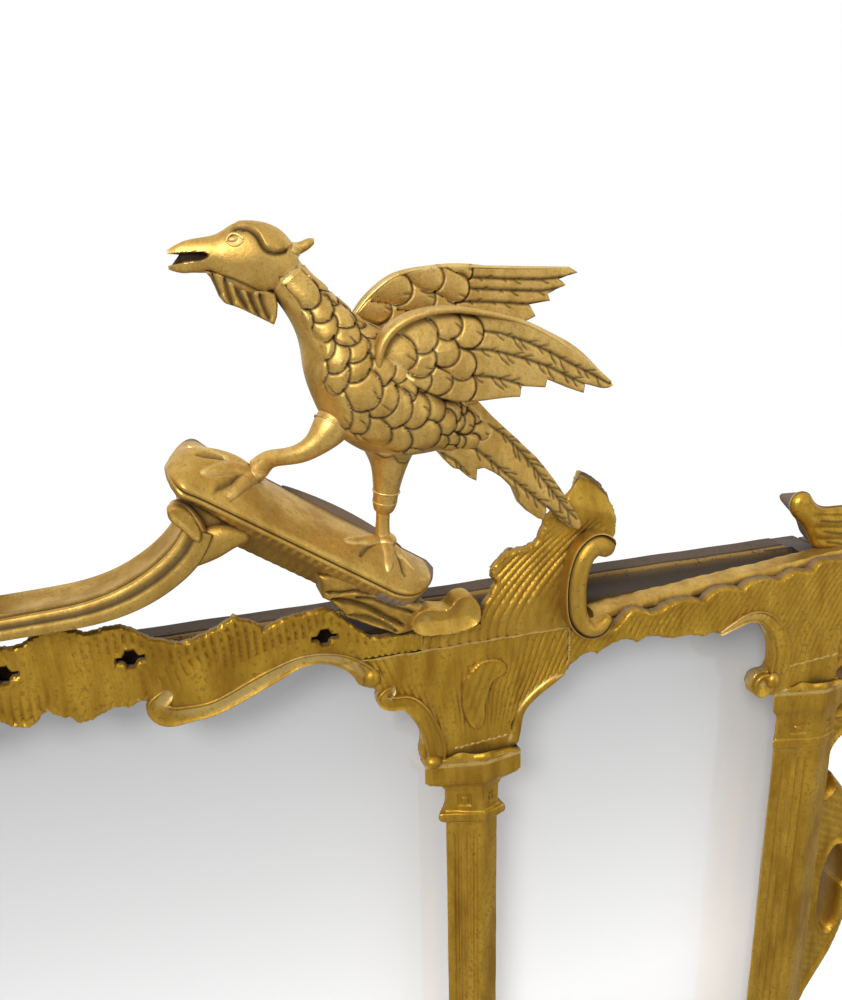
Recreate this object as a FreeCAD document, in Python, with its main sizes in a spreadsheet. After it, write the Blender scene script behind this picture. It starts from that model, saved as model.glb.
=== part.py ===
import FreeCAD, Part
import math
import os
import re

import Sketcher
from FreeCAD import Placement, Rotation, Vector

# Overmantel mirror of carved and gilt wood: a pine carcase with three mirror plates, carved boards
# planted on its front, four pilasters, scrolls and a pair of perched birds.
# Frame: X to the right, Z up, Y = 0 at the wall, the front faces -Y. Z = 0 is the mantel shelf.

SIZES = {
    # layout of the front
    "inner_column_x": 428,
    "outer_column_x": 739,
    "inner_shaft_width": 41,
    "outer_shaft_width": 58,
    "carcase_height": 1014,
    "carcase_depth": 48,
    "overrun": 2,
    # carcase members and their tenons
    "base_height": 70,
    "top_rail_height": 20,
    "muntin_setback": 2.5,
    "rebate_width": 10,
    "rebate_depth": 30,
    "tenon_thickness": 12,
    "tenon_inset": 4,
    "tenon_length": 30,
    "base_tenon_height": 40,
    "top_tenon_height": 12,
    "muntin_tenon_width": 16,
    "muntin_foot_tenon": 25,
    "muntin_head_tenon": 10,
    # plates and what holds them
    "glass_thickness": 5,
    "backboard_thickness": 9,
    "glass_clearance": 0.8,
    "block_length": 50,
    "block_depth": 10,
    # brass wall plates
    "plate_x": 490,
    "plate_width": 60,
    "plate_height": 10,
    "plate_thickness": 3,
    "ear_width": 26,
    "ear_height": 30,
    "wall_hole_radius": 2.75,
    "wall_hole_rise": 18,
    "screw_spacing": 44,
    "screw_head_radius": 3.6,
    "screw_head_depth": 2,
    "screw_shank_radius": 1.75,
    "screw_length": 22,
    "screw_point": 4,
    "screw_clearance": 0.1,
    # pilasters
    "arris_share": 0.66,
    "near_flank_depth": 14,
    "arris_depth": 24,
    "far_flank_depth": 18,
    "front_overhang_share": 0.6,
    "flute_radius": 2.6,
    "flute_margin": 14,
    "spandrel_drop": 112,
    "capital_height": 57,
    "inner_capital_overhang": 18,
    "outer_capital_overhang": 7,
    "column_base_height": 62,
    "column_base_overhang": 9,
    # moulded plinth
    "plinth_projection": 46,
    "plinth_height": 20,
    "plinth_cove_projection": 34,
    "plinth_fillet_height": 8,
    "plinth_return": 20,
    # carved boards
    "board_thickness": 24,
    "frieze_height": 60,
    "frieze_drop": 30,
    "joint_drop": 18,
    "spandrel_width": 172,
    "outer_spandrel_reach": 49,
    "rake_depth": 14,
    "rake_height": 16,
    "rake_drop": 12,
    "rake_rise": 19,
    "flame_width": 154,
    "flame_height": 119,
    "flame_scroll_depth": 16,
    # scrolls and perches
    "scroll_rise": 104,
    "scroll_back": 40,
    "scroll_depth": 45,
    "perch_inset": 123.5,
    "perch_lift": 73.5,
    "perch_tilt": 33.5,
    "perch_length": 200,
    "perch_back": 30,
    "perch_depth": 58,
    "perch_crown": 26,
    "perch_rim": 8.5,
    "perch_under": 20,
    "bracket_length": 116,
    "bracket_height": 48,
    "bracket_back": 14,
    "bracket_depth": 64,
    # birds
    "bird_length": 290,
    "bird_line": 70,
    "ankle_height": 14,
    "leg_spread": 8,
    "tail_thickness": 12,
    "tail_clearance": 1,
    "wing_thickness": 9,
    "front_wing_offset": 24,
    "back_wing_offset": 29,
    "pin_radius": 3.2,
    "toe_radius": 4,
    "toe_bite": 1.5,
    # outer ornaments and the crest
    "side_width": 80,
    "side_foot": 352,
    "side_back": 8,
    "side_depth": 40,
    "finial_height": 60,
    "finial_width": 110,
    "finial_back": 20,
    "finial_depth": 40,
    "crest_height": 316,
    "crest_width": 236,
    "crest_back": 6,
}

doc = FreeCAD.newDocument("OvermantelMirror")
sheet = doc.addObject("Spreadsheet::Sheet", "Sizes")
for row, (alias, amount) in enumerate(SIZES.items(), start=1):
    sheet.set(f"A{row}", alias)
    sheet.set(f"B{row}", str(amount))
    sheet.setAlias(f"B{row}", alias)
doc.recompute()

nodes = {}


def size(alias):
    return float(sheet.get(alias))


def bound(text):
    def prefixed(match):
        word = match.group(0)
        return f"Sizes.{word}" if word in SIZES else word
    return re.sub(r"[a-z_][a-z_0-9]*", prefixed, text)


def node(label, part):
    part.Label = label
    nodes[label] = part
    return part


def mirrored(label, source):
    part = doc.addObject("Part::Mirroring", label)
    part.Source = source
    part.Normal = Vector(1, 0, 0)
    return node(label, part)


def carved(label, shape):
    part = doc.addObject("Part::Feature", label)
    part.Shape = shape
    part.Placement = Placement()
    return node(label, part)


# Squared timber: boxes whose corner and sizes follow the sheet

def box(name, corner, sizes):
    part = doc.addObject("Part::Box", name)
    for side, text in zip(("Length", "Width", "Height"), sizes):
        part.setExpression(side, bound(text))
    for axis, text in zip("xyz", corner):
        part.setExpression(f"Placement.Base.{axis}", bound(text))
    return part


def joined(name, pieces):
    part = doc.addObject("Part::MultiFuse", name)
    part.Shapes = pieces
    return part


def cut(name, base, tools):
    part = doc.addObject("Part::Cut", name)
    part.Base = base
    part.Tool = tools[0] if len(tools) == 1 else joined(f"{name}_cuts", tools)
    return part


STILE_IN = "(outer_column_x - outer_shaft_width / 2)"
MUNTIN_HALF = "(inner_shaft_width / 2 - muntin_setback)"
RAIL_FOOT = "(carcase_height - top_rail_height)"
TENON_FRONT = "(tenon_inset - carcase_depth)"
CENTRE_HALF = f"(inner_column_x - {MUNTIN_HALF} + rebate_width)"
SIDE_FROM = f"(inner_column_x + {MUNTIN_HALF} - rebate_width)"
SIDE_RUN = f"({STILE_IN} + rebate_width - {SIDE_FROM})"


def rail_tenons(name, foot, height):
    return box(f"{name}_tenons",
               (f"-{STILE_IN} - tenon_length", TENON_FRONT, f"{foot} - {height} / 2"),
               (f"2 * ({STILE_IN} + tenon_length)", "tenon_thickness", height))


def rail_rebates(name, foot, height):
    depth = ("-rebate_depth", "rebate_depth + overrun")
    centre = box(f"{name}_rebate_centre", (f"-{CENTRE_HALF}", depth[0], foot),
                 (f"2 * {CENTRE_HALF}", depth[1], height))
    right = box(f"{name}_rebate_right", (SIDE_FROM, depth[0], foot), (SIDE_RUN, depth[1], height))
    left = box(f"{name}_rebate_left", (f"-{SIDE_FROM} - {SIDE_RUN}", depth[0], foot),
               (SIDE_RUN, depth[1], height))
    return [centre, right, left]


def muntin_mortises(name, foot, height):
    return [box(f"{name}_mortise_{hand}",
                (f"{sign}inner_column_x - muntin_tenon_width / 2", TENON_FRONT, foot),
                ("muntin_tenon_width", "tenon_thickness", height))
            for hand, sign in (("right", ""), ("left", "-"))]


def screw_holes(name, start, radius, length):
    holes = []
    for hand, sign in (("right", ""), ("left", "-")):
        for end, step in (("near", "-"), ("far", "+")):
            hole = doc.addObject("Part::Cylinder", f"{name}_{hand}_{end}")
            hole.setExpression("Radius", bound(radius))
            hole.setExpression("Height", bound(length))
            hole.Placement = Placement(Vector(), Rotation(Vector(1, 0, 0), 90))
            hole.setExpression("Placement.Base.x", bound(f"{sign}plate_x {step} screw_spacing / 2"))
            hole.setExpression("Placement.Base.y", bound(start))
            hole.setExpression("Placement.Base.z", bound("carcase_height - plate_height / 2"))
            holes.append(hole)
    return holes


def build_carcase():
    full = f"2 * {STILE_IN}"
    foot_rail = box("bottom_rail_bar", (f"-{STILE_IN}", "-carcase_depth", "0"),
                    (full, "carcase_depth", "base_height"))
    foot_tenons = rail_tenons("bottom_rail", "base_height / 2", "base_tenon_height")
    foot_cuts = rail_rebates("bottom_rail", "base_height - rebate_width", "rebate_width + overrun")
    foot_cuts += muntin_mortises("bottom_rail", "base_height - muntin_foot_tenon",
                                 "muntin_foot_tenon + overrun")
    node("bottom_rail", cut("bottom_rail", joined("bottom_rail_stock", [foot_rail, foot_tenons]),
                            foot_cuts))

    head_rail = box("top_rail_bar", (f"-{STILE_IN}", "-carcase_depth", RAIL_FOOT),
                    (full, "carcase_depth", "top_rail_height"))
    head_tenons = rail_tenons("top_rail", f"{RAIL_FOOT} + top_rail_height / 2", "top_tenon_height")
    head_cuts = rail_rebates("top_rail", f"{RAIL_FOOT} - overrun", "rebate_width + overrun")
    head_cuts += muntin_mortises("top_rail", f"{RAIL_FOOT} - overrun", "muntin_head_tenon + overrun")
    for hand, sign in (("right", ""), ("left", "-")):
        head_cuts.append(box(f"plate_seat_{hand}",
                             (f"{sign}plate_x - plate_width / 2", "-plate_thickness",
                              "carcase_height - plate_height"),
                             ("plate_width", "plate_thickness + overrun", "plate_height + overrun")))
    head_cuts += screw_holes("rail_hole", "overrun", "screw_shank_radius + screw_clearance",
                             "screw_length + overrun")
    node("top_rail", cut("top_rail", joined("top_rail_stock", [head_rail, head_tenons]), head_cuts))

    post = box("stile_bar", (STILE_IN, "-carcase_depth", "0"),
               ("outer_shaft_width", "carcase_depth", "carcase_height"))
    foot_mortise = box("stile_foot_mortise",
                       (f"{STILE_IN} - overrun", TENON_FRONT, "base_height / 2 - base_tenon_height / 2"),
                       ("tenon_length + overrun", "tenon_thickness", "base_tenon_height"))
    head_mortise = box("stile_head_mortise",
                       (f"{STILE_IN} - overrun", TENON_FRONT,
                        f"{RAIL_FOOT} + top_rail_height / 2 - top_tenon_height / 2"),
                       ("tenon_length + overrun", "tenon_thickness", "top_tenon_height"))
    rebate = box("stile_rebate", (f"{STILE_IN} - overrun", "-rebate_depth", "base_height - rebate_width"),
                 ("rebate_width + overrun", "rebate_depth + overrun",
                  f"{RAIL_FOOT} - base_height + 2 * rebate_width"))
    stile = node("right_stile", cut("right_stile", post, [foot_mortise, head_mortise, rebate]))
    mirrored("left_stile", stile)

    bar = box("muntin_bar", (f"inner_column_x - {MUNTIN_HALF}", "-carcase_depth", "base_height"),
              (f"2 * {MUNTIN_HALF}", "carcase_depth", f"{RAIL_FOOT} - base_height"))
    tenon = box("muntin_tenon", ("inner_column_x - muntin_tenon_width / 2", TENON_FRONT,
                                 "base_height - muntin_foot_tenon"),
                ("muntin_tenon_width", "tenon_thickness",
                 f"{RAIL_FOOT} - base_height + muntin_foot_tenon + muntin_head_tenon"))
    sides = [box(f"muntin_rebate_{end}", (start, "-rebate_depth", "base_height - overrun"),
                 ("rebate_width + overrun", "rebate_depth + overrun",
                  f"{RAIL_FOOT} - base_height + 2 * overrun"))
             for end, start in (("near", f"inner_column_x - {MUNTIN_HALF} - overrun"),
                                ("far", f"inner_column_x + {MUNTIN_HALF} - rebate_width"))]
    plain = cut("muntin_plain", bar, sides)
    muntin = node("right_muntin", joined("right_muntin", [plain, tenon]))
    mirrored("left_muntin", muntin)


# Mirror plates in the rebates, thin boards behind them, and glued blocks that hold both

def build_plates():
    foot = "base_height - rebate_width"
    height = f"({RAIL_FOOT} - base_height + 2 * rebate_width - glass_clearance)"
    layers = (("glass", "-rebate_depth", "glass_thickness"),
              ("backboard", "glass_thickness - rebate_depth", "backboard_thickness"))
    for name, front, thickness in layers:
        node(f"centre_{name}",
             box(f"centre_{name}", (f"glass_clearance - {CENTRE_HALF}", front, foot),
                 (f"2 * ({CENTRE_HALF} - glass_clearance)", thickness, height)))
        right = node(f"right_{name}",
                     box(f"right_{name}", (f"{SIDE_FROM} + glass_clearance", front, foot),
                         (f"{SIDE_RUN} - 2 * glass_clearance", thickness, height)))
        mirrored(f"left_{name}", right)
    build_blocks("glass_thickness + backboard_thickness - rebate_depth")


def build_blocks(front):
    edge_shares = (0.22, 0.78)
    rise = f"({RAIL_FOOT} - base_height)"
    openings = (("centre", f"-{CENTRE_HALF}", f"2 * {CENTRE_HALF}"),
                ("right", SIDE_FROM, SIDE_RUN),
                ("left", f"-{SIDE_FROM} - {SIDE_RUN}", SIDE_RUN))
    blocks = []
    for hand, start, run in openings:
        for count, share in enumerate(edge_shares):
            level = f"base_height + {share} * {rise} - block_length / 2"
            along = f"{start} + {share} * ({run}) - block_length / 2"
            upright = ("rebate_width", "block_depth", "block_length")
            flat = ("block_length", "block_depth", "rebate_width")
            blocks += [
                box(f"block_{hand}_a{count}", (start, front, level), upright),
                box(f"block_{hand}_b{count}", (f"{start} + {run} - rebate_width", front, level), upright),
                box(f"block_{hand}_c{count}", (along, front, "base_height - rebate_width"), flat),
                box(f"block_{hand}_d{count}", (along, front, RAIL_FOOT), flat),
            ]
    group = doc.addObject("Part::Compound", "glazing_blocks")
    group.Links = blocks
    node("glazing_blocks", group)


# Brass plates let in flush behind the top rail, each with an ear and a hole for the wall screw

def build_wall_plates():
    bars = []
    for hand, sign in (("right", ""), ("left", "-")):
        strip = box(f"plate_strip_{hand}",
                    (f"{sign}plate_x - plate_width / 2", "-plate_thickness", "carcase_height - plate_height"),
                    ("plate_width", "plate_thickness", "plate_height"))
        ear = box(f"plate_ear_{hand}",
                  (f"{sign}plate_x - ear_width / 2", "-plate_thickness", "carcase_height - plate_height"),
                  ("ear_width", "plate_thickness", "plate_height + ear_height"))
        hole = doc.addObject("Part::Cylinder", f"wall_hole_{hand}")
        hole.setExpression("Radius", bound("wall_hole_radius"))
        hole.setExpression("Height", bound("plate_thickness + 2 * overrun"))
        hole.Placement = Placement(Vector(), Rotation(Vector(1, 0, 0), 90))
        hole.setExpression("Placement.Base.x", bound(f"{sign}plate_x"))
        hole.setExpression("Placement.Base.y", bound("overrun"))
        hole.setExpression("Placement.Base.z", bound("carcase_height + wall_hole_rise"))
        bars.append(cut(f"plate_{hand}", joined(f"plate_{hand}_stock", [strip, ear]), [hole]))
    shanks = screw_holes("plate_hole", "overrun", "screw_shank_radius + screw_clearance",
                         "plate_thickness + 2 * overrun")
    sinks = screw_cones("plate_sink", "screw_head_radius + screw_clearance",
                        "screw_shank_radius + screw_clearance", "0", "screw_head_depth")
    group = doc.addObject("Part::Compound", "plate_pair")
    group.Links = bars
    node("wall_plates", cut("wall_plates", group, shanks + sinks))

    heads = screw_cones("screw_head", "screw_head_radius", "screw_shank_radius", "0", "screw_head_depth")
    stems = screw_holes("screw_shank", "-screw_head_depth", "screw_shank_radius",
                        "screw_length - screw_head_depth - screw_point")
    points = screw_cones("screw_tip", "screw_shank_radius", "screw_shank_radius / 4",
                         "screw_point - screw_length", "screw_point")
    screws = [joined(f"wall_plate_screw_{count}", list(pieces))
              for count, pieces in enumerate(zip(heads, stems, points))]
    group = doc.addObject("Part::Compound", "wall_plate_screws")
    group.Links = screws
    node("wall_plate_screws", group)


def screw_cones(name, wide, narrow, start, length):
    cones = []
    for hand, sign in (("right", ""), ("left", "-")):
        for end, step in (("near", "-"), ("far", "+")):
            cone = doc.addObject("Part::Cone", f"{name}_{hand}_{end}")
            cone.setExpression("Radius1", bound(wide))
            cone.setExpression("Radius2", bound(narrow))
            cone.setExpression("Height", bound(length))
            cone.Placement = Placement(Vector(), Rotation(Vector(1, 0, 0), 90))
            cone.setExpression("Placement.Base.x", bound(f"{sign}plate_x {step} screw_spacing / 2"))
            cone.setExpression("Placement.Base.y", bound(start))
            cone.setExpression("Placement.Base.z", bound("carcase_height - plate_height / 2"))
            cones.append(cone)
    return cones


# Pilasters: a V-fronted section whose arris lies towards the outer side, lofted through mouldings

COLUMN_FOOT = "(base_height + column_base_height)"
ABACUS_TOP = "(carcase_height - spandrel_drop)"
CAPITAL_FOOT = f"({ABACUS_TOP} - capital_height)"

CAPITAL_SHARES = ((0, 0.06), (0.03, 0.3), (0.17, 0.3), (0.21, 0.06), (0.5, 0.06),
                  (0.57, 0.3), (0.66, 0.78), (0.7, 1), (1, 1))
COLUMN_BASE_SHARES = ((0, 1), (0.5, 1), (0.56, 0.75), (0.7, 0.75), (0.8, 0.3), (0.94, 0.3), (1, 0.04))


def bind_point(sketch, index, corner, across, along):
    for kind, text in (("DistanceX", across), ("DistanceY", along)):
        start = sketch.getPoint(index, corner)
        now = start.x if kind == "DistanceX" else start.y
        constraint = sketch.addConstraint(Sketcher.Constraint(kind, -1, 1, index, corner, now))
        sketch.setExpression(f"Constraints[{constraint}]", bound(text))


def new_sketch(body, name, role, level):
    sketch = body.newObject("Sketcher::SketchObject", name)
    plane = [part for part in body.Origin.OriginFeatures if part.Role == role][0]
    sketch.AttachmentSupport = [(plane, "")]
    sketch.MapMode = "FlatFace"
    sketch.setExpression("AttachmentOffset.Base.z", bound(level))
    return sketch


def polygon_sketch(body, name, role, level, corners):
    sketch = new_sketch(body, name, role, level)
    turn = 2 * math.pi / len(corners)
    ring = [Vector(math.cos(turn * step), math.sin(turn * step), 0) for step in range(len(corners))]
    for step, point in enumerate(ring):
        sketch.addGeometry(Part.LineSegment(point, ring[(step + 1) % len(ring)]))
    for step in range(len(ring)):
        sketch.addConstraint(Sketcher.Constraint("Coincident", step, 2, (step + 1) % len(ring), 1))
    for step, (across, along) in enumerate(corners):
        bind_point(sketch, step, 1, across, along)
    return sketch


def column_section(body, name, axis, width, level, overhang):
    left = f"{axis} - {width} / 2"
    forward = f"front_overhang_share * ({overhang})"
    corners = (
        (f"{left} - ({overhang})", "-carcase_depth"),
        (f"{left} - ({overhang})", f"-carcase_depth - near_flank_depth - {forward}"),
        (f"{left} + arris_share * {width}", f"-carcase_depth - arris_depth - {forward}"),
        (f"{axis} + {width} / 2 + ({overhang})", f"-carcase_depth - far_flank_depth - {forward}"),
        (f"{axis} + {width} / 2 + ({overhang})", "-carcase_depth"),
    )
    return polygon_sketch(body, name, "XY_Plane", level, corners)


def moulded_block(label, axis, width, foot, height, overhang, shares):
    body = doc.addObject("PartDesign::Body", label)
    rings = [column_section(body, f"{label}_ring_{count}", axis, width,
                            f"{foot} + {rise} * {height}", f"{reach} * {overhang}")
             for count, (rise, reach) in enumerate(shares)]
    loft = body.newObject("PartDesign::AdditiveLoft", f"{label}_loft")
    loft.Profile = rings[0]
    loft.Sections = rings[1:]
    loft.Ruled = True
    return node(label, body)


def fluted_shaft(label, axis, width):
    flute_shares = (0.36, 0.58, 0.8)
    length = f"({CAPITAL_FOOT} - {COLUMN_FOOT})"
    body = doc.addObject("PartDesign::Body", label)
    section = column_section(body, f"{label}_section", axis, width, COLUMN_FOOT, "0")
    pad = body.newObject("PartDesign::Pad", f"{label}_pad")
    pad.Profile = section
    pad.setExpression("Length", bound(length))
    flutes = new_sketch(body, f"{label}_flutes", "XY_Plane", f"{COLUMN_FOOT} + flute_margin")
    for count, share in enumerate(flute_shares):
        flutes.addGeometry(Part.Circle(Vector(count, 0, 0), Vector(0, 0, 1), size("flute_radius")))
        bind_point(flutes, count, 3,
                   f"{axis} - {width} / 2 + {share} * arris_share * {width}",
                   f"-carcase_depth - near_flank_depth - {share} * (arris_depth - near_flank_depth)")
        radius = flutes.addConstraint(Sketcher.Constraint("Radius", count, size("flute_radius")))
        flutes.setExpression(f"Constraints[{radius}]", bound("flute_radius"))
    doc.recompute()
    plain = body.Shape.Volume
    pocket = body.newObject("PartDesign::Pocket", f"{label}_pocket")
    pocket.Profile = flutes
    pocket.Reversed = True
    pocket.setExpression("Length", bound(f"{length} - 2 * flute_margin"))
    doc.recompute()
    print(label, "flutes remove", round(plain - body.Shape.Volume), "mm3")
    return node(label, body)


def build_columns():
    for place in ("inner", "outer"):
        axis = f"{place}_column_x"
        width = f"{place}_shaft_width"
        pieces = (
            fluted_shaft(f"right_{place}_shaft", axis, width),
            moulded_block(f"right_{place}_capital", axis, width, CAPITAL_FOOT, "capital_height",
                          f"{place}_capital_overhang", CAPITAL_SHARES),
            moulded_block(f"right_{place}_base", axis, width, "base_height", "column_base_height",
                          "column_base_overhang", COLUMN_BASE_SHARES),
        )
        for piece in pieces:
            mirrored(piece.Label.replace("right", "left"), piece)


def build_plinth():
    body = doc.addObject("PartDesign::Body", "plinth_moulding")
    front = "-carcase_depth - plinth_projection"
    cove = "-carcase_depth - plinth_cove_projection"
    corners = (
        ("-carcase_depth", "0"),
        (front, "0"),
        (front, "plinth_height"),
        (cove, "plinth_height + plinth_fillet_height"),
        (cove, "base_height - 2 * plinth_fillet_height"),
        (front, "base_height - plinth_fillet_height"),
        (front, "base_height"),
        ("-carcase_depth", "base_height"),
    )
    reach = "(outer_column_x + outer_shaft_width / 2 + plinth_return)"
    section = polygon_sketch(body, "plinth_section", "YZ_Plane", f"-{reach}", corners)
    pad = body.newObject("PartDesign::Pad", "plinth_pad")
    pad.Profile = section
    pad.setExpression("Length", bound(f"2 * {reach}"))
    node("plinth_moulding", body)


# Carved pieces: outlines of smooth runs between cusps, drawn in shares of the piece's own sizes

def run_edge(points):
    if len(points) == 2:
        return Part.LineSegment(points[0], points[1]).toShape()
    curve = Part.BSplineCurve()
    curve.interpolate(points)
    return curve.toShape()


def board(runs, place, back, depth):
    edges = []
    last = place(*runs[0][0], back)
    first = last
    for run in runs[1:]:
        points = [last] + [place(across, rise, back) for across, rise in run]
        edges.append(run_edge(points))
        last = points[-1]
    if last.distanceToPoint(first) > Part.Precision.confusion():
        edges.append(run_edge([last, first]))
    return Part.Face(Part.Wire(edges)).extrude(Vector(0, -depth, 0))


def in_field(x_origin, x_unit, z_origin, z_unit):
    def place(across, rise, back):
        return Vector(x_origin + across * x_unit, -back, z_origin + rise * z_unit)
    return place


def closed_board(points, place, back, depth):
    curve = Part.BSplineCurve()
    curve.interpolate([place(across, rise, back) for across, rise in points], PeriodicFlag=True)
    return Part.Face(Part.Wire([curve.toShape()])).extrude(Vector(0, -depth, 0))


FRIEZE_END_SHARE = 0.916
SPANDREL_EDGE_SHARE = 0.471


def joint_level():
    return size("carcase_height") - size("joint_drop")


def build_centre_frieze():
    joint_share = (size("frieze_drop") - size("joint_drop")) / size("frieze_height")
    half_shares = (
        ((0, 1),),
        ((0.05, 1.06), (0.1, 1.07), (0.175, 0.98)),
        ((0.234, 1.05), (0.278, 1), (0.304, 1)),
        ((0.322, 1.08), (0.346, 1.15), (0.374, 1.1), (0.397, 1.03)),
        ((0.42, 1.06), (0.449, 1.05), (0.474, 0.93), (0.505, 0.83)),
        ((0.53, 0.77), (0.561, 0.82), (0.589, 0.9), (0.612, 1)),
        ((0.626, 0.93), (0.645, 0.87), (0.654, 0.77)),
        ((0.694, 0.88), (0.73, 0.91), (0.755, 0.92), (0.78, 0.8), (0.806, 0.62), (0.832, 0.47)),
        ((FRIEZE_END_SHARE, 0.45),),
        ((FRIEZE_END_SHARE, joint_share),),
        ((0.766, joint_share),),
        ((0.738, 0.27), (0.701, 0.25), (0.666, 0.13), (0.617, -0.05), (0.565, -0.17), (0.535, -0.18),
         (0.505, -0.15), (0.481, -0.07), (0.472, 0.07)),
        ((0.466, 0.14), (0.455, 0.13), (0.442, 0.08)),
        ((0.404, 0.07), (0.376, 0), (0.357, 0.1)),
        ((0.341, 0.13), (0.327, 0.2), (0.306, 0.07), (0.285, 0.07), (0.262, 0.18)),
        ((0.222, 0.1), (0.182, 0.02), (0.14, 0.1), (0.098, 0.2)),
        ((0.051, 0.03), (0.025, -0.06), (0, -0.1)),
    )
    place = in_field(0, size("inner_column_x"), size("carcase_height") - size("frieze_drop"),
                     size("frieze_height"))
    half = board(half_shares, place, size("carcase_depth"), size("board_thickness"))
    whole = half.fuse(half.mirror(Vector(), Vector(1, 0, 0))).removeSplitter()
    carved("centre_frieze", whole.Solids[0])


def build_inner_spandrel():
    shares = (
        ((-0.581, 1),),
        ((-0.529, 0.936), (-0.5, 0.894), (-0.494, 0.83), (-0.465, 0.777), (-0.424, 0.745), (-0.406, 0.72)),
        ((-0.413, 0.66), (-0.384, 0.606), (-0.355, 0.574), (-0.302, 0.553), (-0.262, 0.468),
         (-0.233, 0.362), (-0.221, 0.277), (-0.227, 0.17), (-0.203, 0)),
        ((0.209, 0),),
        ((0.219, 0.085), (0.203, 0.202), (0.233, 0.298), (0.297, 0.426), (0.378, 0.5)),
        ((0.39, 0.532), (0.43, 0.564), (SPANDREL_EDGE_SHARE, 0.628)),
        ((SPANDREL_EDGE_SHARE, 1),),
    )
    boss_shares = ((0.12, 0.845), (0.165, 0.78), (0.16, 0.7), (0.115, 0.66), (0.085, 0.56), (0.07, 0.44),
                   (0.07, 0.34), (0.047, 0.255), (0.02, 0.245), (-0.02, 0.33), (-0.043, 0.47),
                   (-0.043, 0.61), (-0.012, 0.745), (0.047, 0.845))
    boss_height_share = 0.2
    foot = size("carcase_height") - size("spandrel_drop")
    place = in_field(size("inner_column_x"), size("spandrel_width"), foot, joint_level() - foot)
    front = size("carcase_depth") + size("board_thickness")
    panel = board(shares, place, size("carcase_depth"), size("board_thickness"))
    boss = closed_board(boss_shares, place, front, boss_height_share * size("board_thickness"))
    part = carved("right_inner_spandrel", panel.fuse(boss).removeSplitter().Solids[0])
    mirrored("left_inner_spandrel", part)


def rake_solid():
    start_share = 0.75
    start = size("inner_column_x") + start_share * size("flame_width")
    end = size("outer_column_x") + size("outer_shaft_width") / 2
    low = size("carcase_height") - size("rake_drop")
    high = low + size("rake_rise")
    back = -size("carcase_depth")
    corners = [Vector(start, back, low - size("rake_height")), Vector(end, back, high - size("rake_height")),
               Vector(end, back, high), Vector(start, back, low)]
    return Part.Face(Part.makePolygon(corners + corners[:1])).extrude(Vector(0, -size("rake_depth"), 0))


def build_outer_boards():
    frieze_shares = (
        ((0, -0.3),),
        ((0.1, -0.4), (0.16, -0.44), (0.204, -0.45)),
        ((0.26, -0.32), (0.304, -0.22), (0.37, -0.27), (0.436, -0.3)),
        ((0.492, -0.22), (0.58, -0.2), (0.663, -0.27)),
        ((0.724, -0.13), (0.796, -0.13), (0.856, -0.18)),
        ((0.934, -0.08), (0.97, -0.08), (1, -0.08)),
        ((1, -0.85),),
        ((0.967, -0.73), (0.912, -0.65), (0.862, -0.68), (0.807, -0.75), (0.762, -0.8)),
        ((0.713, -0.75), (0.69, -0.76), (0.663, -0.78)),
        ((0.569, -0.72), (0.503, -0.72), (0.425, -0.65), (0.331, -0.7)),
        ((0.293, -0.63), (0.227, -0.63), (0.138, -0.75)),
        ((0.072, -0.73), (0.03, -0.81), (0, -0.883)),
    )
    edge_share = 0.845
    spandrel_shares = (
        ((-edge_share, 0.955),),
        ((-0.73, 0.935), (-0.62, 0.9375), (-0.448, 0.98), (-0.28, 0.97), (-0.12, 0.964)),
        ((0, 1.027), (0.2, 1.027), (0.5, 1.03)),
        ((0.5, 0),),
        ((-0.655, 0),),
        ((-0.81, 0.01), (-0.948, 0.054), (-1.017, 0.125), (-0.95, 0.195), (-0.84, 0.205), (-0.741, 0.214)),
        ((-0.69, 0.286), (-0.707, 0.393), (-0.81, 0.518), (-edge_share, 0.545)),
    )
    start = size("inner_column_x") + SPANDREL_EDGE_SHARE * size("spandrel_width")
    run = size("outer_column_x") - size("outer_spandrel_reach") - start
    frieze_place = in_field(start, run, size("carcase_height"), size("frieze_height"))
    reach = size("outer_spandrel_reach") / edge_share
    outer_place = in_field(size("outer_column_x"), reach, size("carcase_height") - size("spandrel_drop"),
                           size("spandrel_drop"))
    back = size("carcase_depth")
    thick = size("board_thickness")
    rake = rake_solid()
    frieze = carved("right_frieze", board(frieze_shares, frieze_place, back, thick).cut(rake).Solids[0])
    spandrel = carved("right_outer_spandrel",
                      board(spandrel_shares, outer_place, back, thick).cut(rake).Solids[0])
    moulding = carved("right_top_moulding", rake)
    mirrored("left_frieze", frieze)
    mirrored("left_outer_spandrel", spandrel)
    mirrored("left_top_moulding", moulding)


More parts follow.
